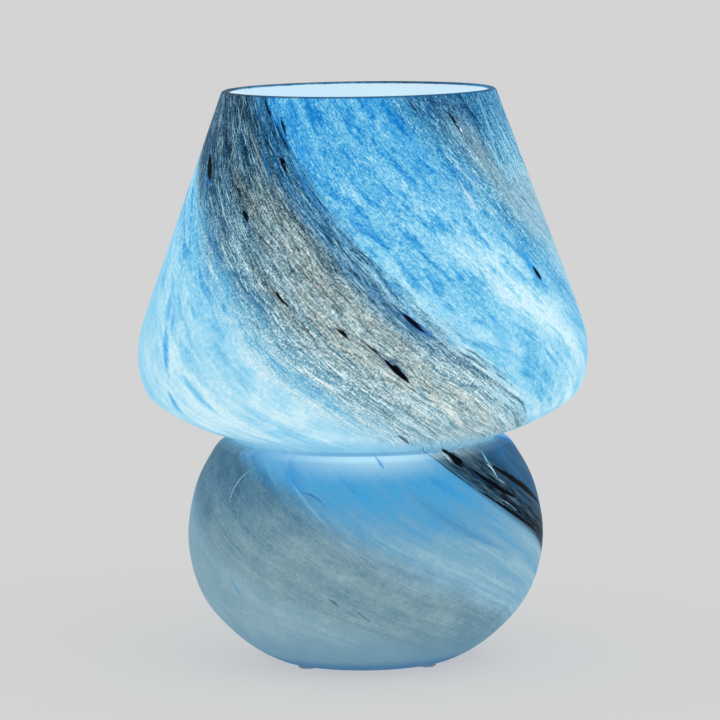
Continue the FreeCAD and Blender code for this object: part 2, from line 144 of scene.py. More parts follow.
class Graph:
    def __init__(self, name, roughness=0.5):
        self.mat = bpy.data.materials.new(name)
        self.mat.use_nodes = True
        self.t = self.mat.node_tree
        self.p = self.t.nodes["Principled BSDF"]
        self.p.inputs["Roughness"].default_value = roughness

    def new(self, kind):
        return self.t.nodes.new(kind)

    def put(self, socket, v):
        if isinstance(v, Sock):
            self.t.links.new(v.s, socket)
        elif isinstance(v, (tuple, list)):
            socket.default_value = tuple(v) + ((1.0,) if len(v) == 3 and len(socket.default_value) == 4 else ())
        else:
            socket.default_value = v

    def math(self, op, a, b=None, c=None, clamp=False):
        n = self.new("ShaderNodeMath")
        n.operation = op
        n.use_clamp = clamp
        self.put(n.inputs[0], a)
        if b is not None:
            self.put(n.inputs[1], b)
        if c is not None:
            self.put(n.inputs[2], c)
        return Sock(self, n.outputs[0])

    def vmath(self, op, a, b=None, scale=None):
        n = self.new("ShaderNodeVectorMath")
        n.operation = op
        self.put(n.inputs[0], a)
        if b is not None:
            self.put(n.inputs[1], b)
        if scale is not None:
            self.put(n.inputs["Scale"], scale)
        return Sock(self, n.outputs[0])

    def step(self, a, b, v):
        """Smooth step of v from 0 at a to 1 at b. a may be larger than b."""
        n = self.new("ShaderNodeMapRange")
        n.interpolation_type = "SMOOTHSTEP"
        if isinstance(a, (int, float)) and isinstance(b, (int, float)) and a > b:
            lo, hi, t0, t1 = b, a, 1.0, 0.0
        else:
            lo, hi, t0, t1 = a, b, 0.0, 1.0
        self.put(n.inputs["Value"], v)
        self.put(n.inputs["From Min"], lo)
        self.put(n.inputs["From Max"], hi)
        n.inputs["To Min"].default_value = t0
        n.inputs["To Max"].default_value = t1
        return Sock(self, n.outputs["Result"])

    def exp(self, v):
        return self.math("EXPONENT", v)

    def clamp(self, v):
        n = self.new("ShaderNodeClamp")
        self.put(n.inputs["Value"], v)
        return Sock(self, n.outputs["Result"])

    def xyz(self, x, y, z):
        n = self.new("ShaderNodeCombineXYZ")
        for s, v in zip(n.inputs, (x, y, z)):
            self.put(s, v)
        return Sock(self, n.outputs[0])

    def split(self, v):
        n = self.new("ShaderNodeSeparateXYZ")
        self.put(n.inputs[0], v)
        return [Sock(self, s) for s in n.outputs]

    def coord(self, kind="Object"):
        return Sock(self, self.new("ShaderNodeTexCoord").outputs[kind])

    def noise(self, vec, scale, detail=2.0, rough=0.5, distort=0.0, normalize=True):
        n = self.new("ShaderNodeTexNoise")
        n.normalize = normalize
        self.put(n.inputs["Vector"], vec)
        n.inputs["Scale"].default_value = scale
        n.inputs["Detail"].default_value = detail
        n.inputs["Roughness"].default_value = rough
        n.inputs["Distortion"].default_value = distort
        return Sock(self, n.outputs[0])

    def ramp(self, v, stops, mode="LINEAR"):
        n = self.new("ShaderNodeValToRGB")
        n.color_ramp.interpolation = mode
        e = n.color_ramp.elements
        while len(e) < len(stops):
            e.new(0.5)
        for el, (pos, col) in zip(e, stops):
            el.position = pos
            el.color = tuple(col) + (1.0,) if len(col) == 3 else tuple(col)
        self.put(n.inputs["Fac"], v)
        return Sock(self, n.outputs["Color"])

    def mix(self, f, a, b, kind="MIX"):
        n = self.new("ShaderNodeMix")
        n.data_type = "RGBA"
        n.blend_type = kind
        n.clamp_factor = True
        self.put(n.inputs[0], f)
        self.put(n.inputs[6], a)
        self.put(n.inputs[7], b)
        return Sock(self, n.outputs[2])

    def gray(self, v):
        n = self.new("ShaderNodeCombineColor")
        for s in n.inputs[:3]:
            self.put(s, v)
        return Sock(self, n.outputs[0])

    def bump(self, h, strength=0.2, distance=0.001):
        n = self.new("ShaderNodeBump")
        n.inputs["Strength"].default_value = strength
        n.inputs["Distance"].default_value = distance
        self.put(n.inputs["Height"], h)
        self.t.links.new(n.outputs[0], self.p.inputs["Normal"])


# floor
g = Graph("studio_floor", 0.9)
fc = g.noise(g.coord(), 3.0, 3.0, 0.5)
k = FLOOR_ALBEDO
g.put(g.p.inputs["Base Color"], g.mix(fc, (k * 0.995, k * 0.995, k * 0.995), (k * 1.005, k * 1.005, k * 1.005)))
g.p.inputs["Emission Color"].default_value = (1.0, 1.0, 1.0, 1.0)
g.p.inputs["Emission Strength"].default_value = FLOOR_GLOW
g.p.inputs["Specular IOR Level"].default_value = 0.0
floor_mesh = bpy.data.meshes.new("floor")
F = 80.0
floor_mesh.from_pydata([(-F, -F, 0), (F, -F, 0), (F, F, 0), (-F, F, 0)], [], [(0, 1, 2, 3)])
floor = bpy.data.objects.new("floor", floor_mesh)
scene.collection.objects.link(floor)
floor.location.z = -0.00005
floor_mesh.materials.append(g.mat)

# =====================================================================================
# The glass body's section: the same line that the construction uses, in millimetres
# =====================================================================================
LIFT = 1.5
OUTER = [
    (57.75, 238.7), (64.40, 220.4), (71.45, 201.4), (78.68, 181.5), (86.30, 160.9),
    (94.20, 139.6), (95.60, 128.6), (93.20, 114.2), (87.00, 108.6), (74.00, 100.8),
    (62.80, 96.9), (56.60, 95.2), (54.40, 93.5), (56.80, 92.5), (61.90, 91.8),
    (65.40, 85.4), (70.90, 76.6), (74.20, 64.9), (76.25, 51.5), (74.00, 36.7),
    (68.80, 24.0), (60.50, 14.5), (52.40, 7.0), (45.40, 2.4), (40.00, 0.0),
]


def spline(poles, n, degree=3):
    p = np.asarray(poles, float)
    count = len(p)
    knots = np.concatenate([np.zeros(degree), np.linspace(0, 1, count - degree + 1), np.ones(degree)])
    t = np.linspace(0, 1, n)
    basis = np.zeros((n, len(knots) - 1))
    for i in range(len(knots) - 1):
        basis[:, i] = (t >= knots[i]) & (t < knots[i + 1])
    basis[-1, :] = 0
    basis[-1, count - 1] = 1
    for dg in range(1, degree + 1):
        nxt = np.zeros((n, len(knots) - 1 - dg))
        for i in range(len(knots) - 1 - dg):
            a = (t - knots[i]) / (knots[i + dg] - knots[i]) if knots[i + dg] > knots[i] else 0
            b = (knots[i + dg + 1] - t) / (knots[i + dg + 1] - knots[i + 1]) if knots[i + dg + 1] > knots[i + 1] else 0
            nxt[:, i] = a * basis[:, i] + b * basis[:, i + 1]
        if dg == degree:
            nxt[-1, :] = 0
            nxt[-1, count - 1] = 1
        basis = nxt
    return basis @ p


def resample(line, count=None, step=None):
    seg = np.hypot(*np.diff(line, axis=0).T)
    s = np.concatenate([[0], np.cumsum(seg)])
    if count is None:
        count = max(2, int(round(s[-1] / step)) + 1)
    q = np.linspace(0, s[-1], count)
    return np.stack([np.interp(q, s, line[:, 0]), np.interp(q, s, line[:, 1])], 1)


fine = spline(OUTER, 2400)
tan = np.gradient(fine, axis=0)
tan /= np.linalg.norm(tan, axis=1)[:, None]
waist = 800 + int(fine[800:1500, 0].argmin())
zf = fine[:, 1]
wall = np.where(
    np.arange(2400) < waist,
    np.where(zf > 225, 3.4 + 0.6 * (zf - 225) / 15.0, np.where(zf < 112, 4.2 - 0.8 * np.clip(zf - 94, 0, None) / 18.0, 3.4)),
    np.where(zf > 84, 4.2, np.where(zf < 20, 4.0 + 1.6 * (20 - zf) / 20.0, 4.0)),
)
inner = fine + np.stack([tan[:, 1], -tan[:, 0]], 1) * wall[:, None]
inner = inner[: int(0.91 * 2400)]
FLOOR_Z = 9.5
keep = inner[:, 1] > FLOOR_Z + 5.0
inner = inner[keep]
# the concave side of the waist folds over itself a little when it is offset, so it is eased there
cut = [0]
for i in range(1, len(inner)):
    if np.dot(inner[i] - inner[cut[-1]], tan[i]) > 0.02:
        cut.append(i)
inner = inner[cut]
bottom_in = np.array([[52.0, FLOOR_Z + 2.6], [48.0, FLOOR_Z + 1.15], [44.0, FLOOR_Z + 0.55], [36.0, FLOOR_Z + 0.12]])
bottom_in = bottom_in[bottom_in[:, 1] < inner[-1, 1] - 0.5]
inner = np.concatenate([inner, bottom_in])

lip_a, lip_b = fine[0], inner[0]
mid = (lip_a + lip_b) / 2
axis_dir = -tan[0]
side = (lip_a - mid)
half = np.linalg.norm(side)
lip = np.array([mid + side * math.cos(a) + axis_dir * half * math.sin(a) for a in np.linspace(0, math.pi, 15)])[1:-1]

outer_rows = resample(fine, step=1.55)[::-1]                # from the foot ring up to the lip
inner_rows = resample(inner, step=1.9)                       # from the lip down to the floor
foot = np.array([[0.0, 3.0], [9.0, 2.95], [18.0, 2.75], [24.0, 2.55], [26.6, 2.38], [28.0, 1.7], [30.0, 0.35], [30.7, 0.0], [35.0, 0.0], [39.0, 0.0]])
floor_rows = np.array([[28.0, FLOOR_Z + 0.06], [18.0, FLOOR_Z + 0.03], [9.0, FLOOR_Z + 0.01], [0.0, FLOOR_Z]])
section = np.concatenate([foot, outer_rows, lip, inner_rows, floor_rows])
n_foot, n_out, n_lip, n_in = len(foot), len(outer_rows), len(lip), len(inner_rows)
NZ = len(section)
i_out0, i_lip0, i_in0 = n_foot, n_foot + n_out, n_foot + n_out + n_lip

NA = 256
SEAM = math.radians(130.0)                                   # the map's seam, away from front and cable hole


def wobble(theta, z):
    """Hand-blown irregularity, in millimetres: none at the foot, the waist or the ledge."""
    up = np.clip((z - 118.0) / 30.0, 0, 1)
    up = up * up * (3 - 2 * up)
    dn = np.clip((z - 22.0) / 25.0, 0, 1) * np.clip((84.0 - z) / 20.0, 0, 1)
    a = 0.28 * np.sin(theta + 0.7 + z * 0.011) + 0.20 * np.sin(2 * theta - 0.4 + z * 0.017) + 0.10 * np.sin(3 * theta + 2.0 - z * 0.03)
    b = 0.22 * np.sin(theta * 2 + 1.9) + 0.12 * np.sin(3 * theta + 0.6 + z * 0.05)
    return a * up + b * dn


theta = SEAM + np.arange(NA) * 2 * math.pi / NA              # 0 faces the camera, turning towards +X
jc = int(round((math.pi - SEAM) / (2 * math.pi / NA)))
theta = theta + (math.pi - theta[jc])                        # one column runs exactly through the cable hole

# length along each wall, for the hole's own coordinates
HOLE_AT = np.array([69.645, 28.457 - LIFT])
HOLE_N = np.array([0.8877, -0.4604])
RING, REACH = 3, 7
HOLE_RADIUS = 5.05

R = np.repeat(section[:, 0][:, None], NA, 1)
Z = np.repeat(section[:, 1][:, None], NA, 1)
T = np.repeat(theta[None, :], NZ, 0)


def open_hole(start, rows, centre, sign):
    """Draws the grid's rings near the hole into circles. Returns the ring's (row, column) list."""
    s = np.concatenate([[0], np.cumsum(np.hypot(*np.diff(rows, axis=0).T))])
    dist = np.hypot(rows[:, 0] - centre[0], rows[:, 1] - centre[1])
    ic = int(dist.argmin())
    s0 = s[ic] + float(np.dot(centre - rows[ic], (rows[ic + 1] - rows[ic]) / np.linalg.norm(rows[ic + 1] - rows[ic])))
    row_step = float(np.mean(np.diff(s[ic - 6: ic + 7])))
    ring = {}
    for di in range(-REACH, REACH + 1):
        for dj in range(-REACH, REACH + 1):
            kk = max(abs(di), abs(dj))
            if kk < RING:
                continue
            r_here = rows[ic][0]
            here_s, here_t = di * row_step, dj * (2 * math.pi / NA) * r_here
            ang = math.atan2(di, dj)
            # even spacing round the square, so that the circle's corners are even too
            if abs(dj) >= abs(di):
                ang = (math.pi / 4) * (di / kk) if dj > 0 else math.pi - (math.pi / 4) * (di / kk)
            else:
                ang = math.pi / 2 - (math.pi / 4) * (dj / kk) if di > 0 else -math.pi / 2 + (math.pi / 4) * (dj / kk)
            rad = HOLE_RADIUS * kk / RING
            cs, ct = rad * math.sin(ang), rad * math.cos(ang)
            w = (kk - RING) / (REACH - RING)
            w = w * w * (3 - 2 * w)
            ps, pt = cs * (1 - w) + here_s * w, ct * (1 - w) + here_t * w
            q = (s0 * (1 - w) + s[ic] * w) + ps
            rr, zz = np.interp(q, s, rows[:, 0]), np.interp(q, s, rows[:, 1])
            i, j = start + ic + di, jc + dj
            R[i, j], Z[i, j], T[i, j] = rr, zz, math.pi + pt / rr
            if kk == RING:
                ring[(di * sign, dj)] = (i, j)
    return start + ic, ring


centre_in = HOLE_AT - HOLE_N * 4.0
row_o, ring_o = open_hole(i_out0, outer_rows, HOLE_AT, -1)
row_i, ring_i = open_hole(i_in0, inner_rows, centre_in, 1)

Rw = R + wobble(T, Z) * (R > 1.0)
X = Rw * np.sin(T)
Y = -Rw * np.cos(T)
verts = np.stack([X, Y, Z + LIFT], -1).reshape(-1, 3) / 1000.0
idx = np.arange(NZ * NA).reshape(NZ, NA)
pole_a, pole_b = idx[0, 0], idx[-1, 0]


def in_hole(i, j, row):
    return abs(i + 0.5 - row) < RING and abs(j + 0.5 - jc) < RING


arc = np.concatenate([[0], np.cumsum(np.hypot(*np.diff(section, axis=0).T))])
split_s = arc[i_lip0 + n_lip // 2]
v_of = np.where(arc <= split_s, arc / split_s * 0.60, 0.62 + (arc - split_s) / (arc[-1] - split_s) * 0.37)

faces, uvs, mats = [], [], []
for i in range(NZ - 1):
    for j in range(NA):
        if in_hole(i, j, row_o) or in_hole(i, j, row_i):
            continue
        j2 = (j + 1) % NA
        u1, u2 = 0.01 + 0.98 * j / NA, 0.01 + 0.98 * (j + 1) / NA
        lip_row = i_lip0 + int(n_lip * 0.74)
        mat_i = 0 if i < lip_row else 1
        if i == 0:
            faces.append((pole_a, idx[1, j2], idx[1, j]))
            uvs.append(((u1 + u2) / 2, v_of[0], u2, v_of[1], u1, v_of[1]))
        elif i == NZ - 2:
            faces.append((idx[i, j], idx[i, j2], pole_b))
            uvs.append((u1, v_of[i], u2, v_of[i], (u1 + u2) / 2, v_of[i + 1]))
        else:
            faces.append((idx[i, j], idx[i, j2], idx[i + 1, j2], idx[i + 1, j]))
            va, vb = v_of[i], v_of[i + 1]
            if i + 1 == i_lip0 + n_lip // 2 + 1 and va < 0.61 < vb:
                vb = 0.605
            uvs.append((u1, va, u2, va, u2, vb, u1, vb))
        mats.append(mat_i)
# the hole's own wall, from the outer ring to the inner ring
order = sorted(ring_o, key=lambda key: math.atan2(key[0], key[1]))
for a, b in zip(order, order[1:] + order[:1]):
    o1, o2, i1, i2 = (idx[ring_o[a]], idx[ring_o[b]], idx[ring_i[a]], idx[ring_i[b]])
    faces.append((o1, i1, i2, o2))
    uvs.append((0.001, 0.995, 0.001, 0.998, 0.004, 0.998, 0.004, 0.995))
    mats.append(1)


def mesh_object(name, verts, faces, uv=None, mats=None, smooth=True):
    me = bpy.data.meshes.new(name)
    me.from_pydata([tuple(map(float, v)) for v in verts], [], [tuple(int(k) for k in f) for f in faces])
    if uv is not None:
        layer = me.uv_layers.new(name="OFBake")
        flat = np.concatenate([np.asarray(u, float) for u in uv])
        layer.data.foreach_set("uv", flat)
    if mats is not None:
        me.polygons.foreach_set("material_index", mats)
    if smooth:
        me.polygons.foreach_set("use_smooth", [True] * len(me.polygons))
    me.update()
    ob = bpy.data.objects.new(name, me)
    scene.collection.objects.link(ob)
    bm = bmesh.new()
    bm.from_mesh(me)
    loose = [v for v in bm.verts if not v.link_faces]
    bmesh.ops.delete(bm, geom=loose, context="VERTS")
    bmesh.ops.recalc_face_normals(bm, faces=bm.faces)
    bm.to_mesh(me)
    bm.free()
    me.update()
    return ob


glass = mesh_object("glass_swirl", verts, faces, uvs, mats)
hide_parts("glass_body")
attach(glass, "lamp")

# =====================================================================================
# Swirl glass. Streaks follow lines that run down and round the body; a point's line is
# named by u, the angle in degrees at which that line leaves the top.
# =====================================================================================
g = Graph("swirl_glass", 0.50)
px, py, pz = g.split(g.vmath("SCALE", g.coord(), scale=1000.0))
zg = pz - LIFT
th = g.math("ARCTAN2", px, -py) * 57.29578


def run_deg(z):
    """How far a streak has turned by height z, in degrees (plain numbers)."""
    return 0.62 * (240.0 - z) + 109.2 * (math.exp(-z / 42.0) - 0.0033)


on_base = g.step(94.5, 92.0, zg)
on_shade = 1.0 - on_base
S = (240.0 - zg) * 0.62 + (g.exp(zg * (-1.0 / 42.0)) - 0.0033) * 109.2
S = S + g.step(112, 95, zg) * on_shade * g.step(5, 62, th) * g.step(175, 110, th) * 13.5
bend = g.step(45, 80, th) * g.step(180, 90, th) * g.step(172, 206, zg)
body_pos = g.xyz(px, py, pz)
warp_big = (g.noise(body_pos, 0.014, 1.0) - 0.5) * 13.0
warp_small = (g.noise(g.vmath("ADD", body_pos, (31.0, 7.0, 55.0)), 0.045, 1.0) - 0.5) * 3.2
u_plain = th + bend * 26.0 - S
u_soft = u_plain + warp_small
u_w = u_plain + warp_big + warp_small


def around(u, radius, along):
    """Point on a cylinder that is unrolled along the streaks, so noise is drawn out with them."""
    rad = u * 0.0174533
    return g.xyz(g.math("COSINE", rad) * radius, g.math("SINE", rad) * radius, zg * along)


def wrap(v):
    return g.math("WRAP", v, 180.0, -180.0)


blotch = g.noise(around(u_w, 75.0, 0.30), 0.055, 2.0, 0.5) - 0.5        # broad clouds
patch = g.noise(around(u_w, 75.0, 0.24), 0.17, 3.0, 0.55) - 0.5         # long patches
zone = g.noise(around(u_w + 70.0, 75.0, 0.16), 0.12, 2.0, 0.5) - 0.5    # which of two tints
streak = g.noise(around(u_w, 75.0, 0.13), 0.62, 2.0, 0.6) - 0.5         # streaks 1.6 mm across
fibre = g.noise(around(u_soft, 75.0, 0.20), 1.70, 1.0, 0.6) - 0.5       # fine fibres
grain = g.noise(body_pos, 1.25, 1.0, 0.7) - 0.5                         # mottle
puff = g.noise(g.vmath("ADD", body_pos, (9.0, 80.0, 21.0)), 0.085, 3.0, 0.6) - 0.5
hair_n = g.noise(around(u_soft, 75.0, 0.105), 1.75, 0.0)                # fine hair lines
thread_n = g.noise(around(u_soft + 40.0, 75.0, 0.100), 1.50, 0.0)
mottle = g.noise(body_pos, 0.48, 2.0, 0.6) - 0.5                        # soft spots in the blue
short = g.noise(around(u_soft + 15.0, 75.0, 0.46), 1.45, 1.0, 0.6) - 0.5  # short fibres in the blue
dab_n = g.noise(around(u_w + 20.0, 75.0, 0.42), 0.21, 1.0, 0.5)         # dabs of deeper blue


def bell(v, centre, width):
    q = (wrap(v - centre)) * (1.0 / width)
    return g.exp(-(q * q))


def bell_z(centre, width):
    q = (zg - centre) * (1.0 / width)
    return g.exp(-(q * q))


def band(v, lo, hi, soft):
    """1 between two streak lines, wrapped round the body, with soft edges."""
    c, h = (lo + hi) / 2.0, (hi - lo) / 2.0
    dist = g.math("ABSOLUTE", wrap(v - c))
    return g.step(h + soft, h - soft, dist)


u_ring = wrap(u_soft)

# ---- blue ground, from deep to nearly white
down = g.step(245, 105, zg)
L = 0.355 + 0.385 * down
L = L + bell(u_soft, -5.0, 10.5) * g.step(208, 170, zg) * (1.0 - 0.45 * g.step(152, 126, zg)) * on_shade * 0.34           # pale streak, right
L = L - bell(u_soft, 13.0, 8.0) * g.step(160, 140, zg) * on_shade * 0.10
L = L + band(u_soft, -170.0, -92.0, 6.0) * on_shade * 0.115                            # left side is lighter
L = L + bell(u_soft, -126.0, 20.0) * g.step(150, 118, zg) * on_shade * 0.10         # pale, low on the left
L = L - bell(u_soft, -24.0, 9.0) * on_shade * 0.06                                  # bluer run down the middle
fine_k = 0.50 + 0.70 * g.step(118, 205, zg)
low = g.step(160, 118, zg)
L = L + blotch * 0.85 + patch * 0.40 + puff * (0.25 + 0.50 * low) + mottle * 0.44
L = L + streak * 0.16 + (short * 0.80 + grain * 0.62) * fine_k
L = L - g.step(0.49, 0.67, dab_n + patch * 0.20) * (0.28 - 0.13 * low)
L = L - bell(u_soft, -36.0, 6.0) * bell_z(178.0, 14.0) * 0.16
calm = band(u_soft, -172.0, -90.0, 12.0) * g.step(180, 130, zg) * on_shade                  # quiet and pale, low on the left
L = L + (0.77 - L) * calm * 0.26
L = L - bell(th, 58.0, 14.0) * bell_z(136.0, 16.0) * on_shade * 0.07 + bell(u_soft, -22.0, 14.0) * bell_z(184.0, 20.0) * 0.035
plain_side = bell(th, -87.0, 15.0) * g.step(205, 160, zg) + bell(th, 88.0, 13.0) * g.step(170, 140, zg)
L = L + (0.60 - L) * g.clamp(plain_side * 0.80) * on_shade
L = L - g.step(112, 103, zg) * 0.05
blue = g.ramp(g.clamp(L), [
    (0.00, srgb(16, 124, 202)),
    (0.20, srgb(46, 151, 218)),
    (0.40, srgb(88, 178, 226)),
    (0.60, srgb(132, 206, 240)),
    (0.80, srgb(174, 226, 247)),
    (1.00, srgb(216, 246, 254)),
])

fleck = g.step(0.15, 0.27, short + mottle * 0.25)
blue = g.mix(fleck * 0.40, blue, srgb(184, 234, 250))
blue = g.mix(calm * 0.10, blue, srgb(176, 218, 236))

# ---- smoky grey bands
edge = streak * 16.0 + patch * 16.0 + fibre * 7.0
ue = u_soft + edge
left_edge = g.step(195, 228, zg) * (-16.0) - 91.0
left_soft = wrap(ue - left_edge)
main = (g.step(-5.0, 5.0, left_soft) * g.step(170, 205, zg) + g.step(-9.0, 13.0, left_soft) * g.step(205, 170, zg))
main = main * g.step(5.0, -5.0, wrap(ue + 40.0 + g.step(222, 240, zg) * 4.5 + g.step(128, 112, zg) * 3.0))
main = main * g.step(180.0, 110.0, g.math("ABSOLUTE", wrap(ue + 65.0)))
right_slate = band(ue, 14.0, 118.0, 10.0) * (0.34 + 0.60 * g.step(160, 205, zg) + 0.14 * g.step(56, 72, th) * g.step(120, 90, th) * bell_z(180.0, 16.0) + 0.34 * g.step(60, 80, u_ring) * g.step(150, 175, zg) * g.step(215, 190, zg)) * on_shade
back_band = band(ue, 140.0, 172.0, 9.0) * 0.85 * on_shade

smoke_t = 0.16 + 0.29 * g.step(228, 180, zg) + 0.24 * g.step(185, 112, zg) + 0.025 * g.step(122, 108, zg)
smoke_t = smoke_t + 0.06 * bell_z(164.0, 20.0) + 0.05 * bell(u_soft, -88.0, 8.0) * g.step(190, 150, zg)
quiet = 1.0 - 0.32 * g.step(130, 106, zg)
smoke_t = smoke_t + patch * 0.55 + streak * 0.72 + (fibre * 1.10 + grain * 1.15) * quiet
smoke_t = g.clamp(smoke_t)
smoke_cold = g.ramp(smoke_t, [
    (0.00, srgb(6, 24, 42)),
    (0.22, srgb(36, 82, 112)),
    (0.45, srgb(88, 132, 154)),
    (0.65, srgb(140, 180, 194)),
    (0.85, srgb(196, 224, 230)),
    (1.00, srgb(234, 246, 246)),
])
smoke_warm = g.ramp(smoke_t, [
    (0.00, srgb(20, 30, 38)),
    (0.22, srgb(62, 84, 94)),
    (0.45, srgb(114, 137, 141)),
    (0.65, srgb(160, 177, 175)),
    (0.85, srgb(204, 217, 212)),
    (1.00, srgb(238, 240, 234)),
])
tan_in = bell(u_soft, -62.0, 13.0) * g.step(222, 196, zg)
smoke = g.mix(g.clamp(tan_in * 1.35 + zone * 3.6 - 0.30) * (1.0 - 0.55 * g.step(140, 100, zg)), smoke_cold, smoke_warm)
slate_t = 0.14 + 0.40 * g.step(240, 205, zg) + 0.14 * g.step(200, 150, zg) + 0.16 * g.step(46, 78, u_ring)
slate_t = slate_t + 0.02 + patch * 1.15 + streak * 1.3 + fibre * 1.7 + grain * 1.75
slate = g.ramp(g.clamp(slate_t), [
    (0.00, srgb(2, 56, 104)),
    (0.25, srgb(26, 116, 170)),
    (0.50, srgb(68, 155, 198)),
    (0.75, srgb(120, 190, 218)),
    (1.00, srgb(184, 228, 244)),
])
ash = g.ramp(g.clamp(0.56 + streak * 0.8 + fibre * 1.1 + grain * 1.1), [(0.0, srgb(84, 132, 158)), (0.5, srgb(144, 186, 204)), (1.0, srgb(204, 230, 236))])
slate = g.mix(g.step(21, 38, u_ring) * g.step(96, 70, u_ring) * g.step(216, 190, zg) * 0.85, slate, ash)
beige = g.ramp(g.clamp(0.45 + streak * 0.8 + fibre * 1.2 + grain * 1.2), [(0.0, srgb(70, 100, 112)), (0.5, srgb(146, 168, 168)), (1.0, srgb(222, 228, 214))])
slate = g.mix(bell(u_soft, 34.0, 9.0) * bell_z(214.0, 17.0) * 0.60, slate, beige)
col = g.mix(right_slate, blue, slate)
col = g.mix(back_band, col, smoke)
col = g.mix(main * 0.96, col, smoke)

# blue stain along both edges of the main band
stain = (bell(u_soft + streak * 10.0 + patch * 12.0, -46.0, 4.2) * g.step(128, 150, zg) * 0.66
         + bell(u_soft + streak * 8.0, -86.0, 3.4) * g.step(150, 200, zg) * 0.45) * on_shade
col = g.mix(stain, col, g.ramp(g.clamp(0.40 + streak * 1.4 + fibre * 1.0 + grain * 0.8), [(0.0, srgb(6, 44, 80)), (0.5, srgb(40, 118, 172)), (1.0, srgb(140, 200, 228))]))

# ---- base: quieter, cloudier, greyer
cloud = puff * 0.52 + mottle * 0.30 + blotch * 0.30 + patch * 0.34 + streak * 0.26 + fibre * 0.36 + grain * 0.42
cloud = cloud - 0.14 * g.step(-40, -62, th) * g.step(-178, -130, th) * g.step(80, 60, zg) - 0.10 * g.step(34, 22, zg) * g.step(10, 40, th) * g.step(178, 130, th)
base_grey = g.ramp(g.clamp(0.14 + 0.45 * g.step(92, 50, zg) + cloud), [
    (0.00, srgb(58, 102, 128)),
    (0.30, srgb(92, 133, 155)),
    (0.55, srgb(120, 152, 165)),
    (0.80, srgb(142, 172, 182)),
    (1.00, srgb(168, 196, 204)),
])
cloud_b = puff * 0.30 + mottle * 0.22 + blotch * 0.40 + patch * 0.62 + streak * 0.26 + fibre * 0.20 + grain * 0.16
base_blue = g.ramp(g.clamp(0.26 + 0.50 * g.step(88, 48, zg) + cloud_b), [
    (0.00, srgb(38, 140, 206)),
    (0.25, srgb(68, 160, 212)),
    (0.50, srgb(94, 160, 201)),
    (0.75, srgb(126, 172, 196)),
    (1.00, srgb(154, 194, 210)),
])
grey_base = band(u_soft + puff * 16.0 + edge * 0.55 + g.step(77, 92, zg) * 15.0, -212.0, -141.0, 12.0)
pale_left = band(u_soft + puff * 20.0, -320.0, -205.0, 14.0) * g.step(84, 50, zg)
base_col = g.mix(grey_base, base_blue, base_grey)
base_col = g.mix(pale_left, base_col, g.ramp(g.clamp(0.5 + cloud * 0.9), [(0.0, srgb(100, 144, 168)), (0.5, srgb(134, 167, 181)), (1.0, srgb(164, 193, 203))]))
bt2 = 0.21 + patch * 0.9 + streak * 1.2 + fibre * 1.1 + 0.40 * g.step(87.0, 92.5, zg)
base_smoke = g.ramp(g.clamp(bt2), [
    (0.00, srgb(4, 12, 22)),
    (0.20, srgb(26, 54, 76)),
    (0.50, srgb(66, 96, 114)),
    (0.75, srgb(112, 132, 140)),
    (1.00, srgb(176, 188, 190)),
])
base_smoke = g.mix(g.step(-62.0, -46.0, u_ring), base_smoke, g.ramp(g.clamp(0.4 + patch * 0.9 + streak * 0.8), [(0.0, srgb(20, 66, 108)), (0.5, srgb(44, 96, 134)), (1.0, srgb(84, 112, 134))]))
base_col = g.mix(band(u_soft + streak * 5.0, -76.0, -18.0, 3.0), base_col, base_smoke)
base_col = g.mix(g.step(24, 5, zg) * 0.60, base_col, srgb(84, 134, 162))
base_col = g.mix(g.step(6.5, 1.0, zg) * 0.75, base_col, srgb(40, 102, 150))
col = g.mix(on_base, col, base_col)

# ---- long fine hair lines, light and dark, mostly inside the smoke
hair = g.step(0.69, 0.77, hair_n + patch * 0.20)
dark_hair = g.step(0.31, 0.23, thread_n + patch * 0.20)
in_smoke = g.clamp(main + right_slate * 0.6)
col = g.mix(hair * quiet * (0.30 + in_smoke * 0.40) * on_shade, col, srgb(178, 226, 242))
col = g.mix(dark_hair * quiet * (in_smoke * 0.70) * on_shade, col, g.mix(main, srgb(8, 68, 112), srgb(18, 42, 60)))

# ---- painted light and shade at the waist: the base's top beneath the glass shade and a thin line along the fold are painted light; the glass shade's low underside and a narrow strip just above the fold are painted shade
# painted light: the base's top near the waist is mixed towards pale blue, as if lit by the bulb through the waist;
# strongest at the front, weaker inside the dark band
glow = (g.step(82.0, 93.4, zg) * 0.55 + g.exp((zg - 92.6) * (1.0 / 4.2)) * 0.45) * (0.05 + 0.95 * bell(th, 3.0, 32.0)) * (1.0 - 0.75 * band(u_soft, -78.0, -18.0, 5.0))
col = g.mix(g.clamp(glow) * on_base * 0.96, col, srgb(190, 229, 243))
# painted shade: the low underside of the glass shade is mixed towards a darker blue
underside_shade = g.step(103.0, 96.0, zg) * on_shade
col = g.mix(underside_shade * 0.66, col, srgb(126, 188, 218))
# painted highlight: a thin pale line along the base's top right below the waist, strongest at the front
crease_highlight = g.step(90.2, 92.0, zg) * g.step(93.0, 92.5, zg) * (0.10 + 0.90 * bell(th, 4.0, 28.0))
col = g.mix(crease_highlight * 0.75, col, srgb(200, 238, 252))
# painted shadow: a narrow darker blue strip just above the waist, beneath the glass shade's lower edge
crease_shadow = g.step(92.5, 93.0, zg) * g.step(94.5, 93.7, zg) * bell(th, 2.0, 44.0)
col = g.mix(crease_shadow * 0.78, col, srgb(108, 172, 210))

# ---- inclusions and strokes in the glass. Each is a line of points, an angle in degrees and a
# height in millimetres, with its width, its colour, how strongly it covers and whether it tapers.
radius_z = fine[::-1]
rz_base = radius_z[radius_z[:, 1] < 92.6]
rz_base = rz_base[np.argsort(rz_base[:, 1])]
rz_shade = radius_z[radius_z[:, 1] > 96.0]
rz_shade = rz_shade[np.argsort(rz_shade[:, 1])]
# a little noise in the place itself makes the marks ragged
flat_pos = g.xyz(th + fibre * 0.8 + grain * 0.4, zg + fibre * 0.6 - grain * 0.3, 1.0)


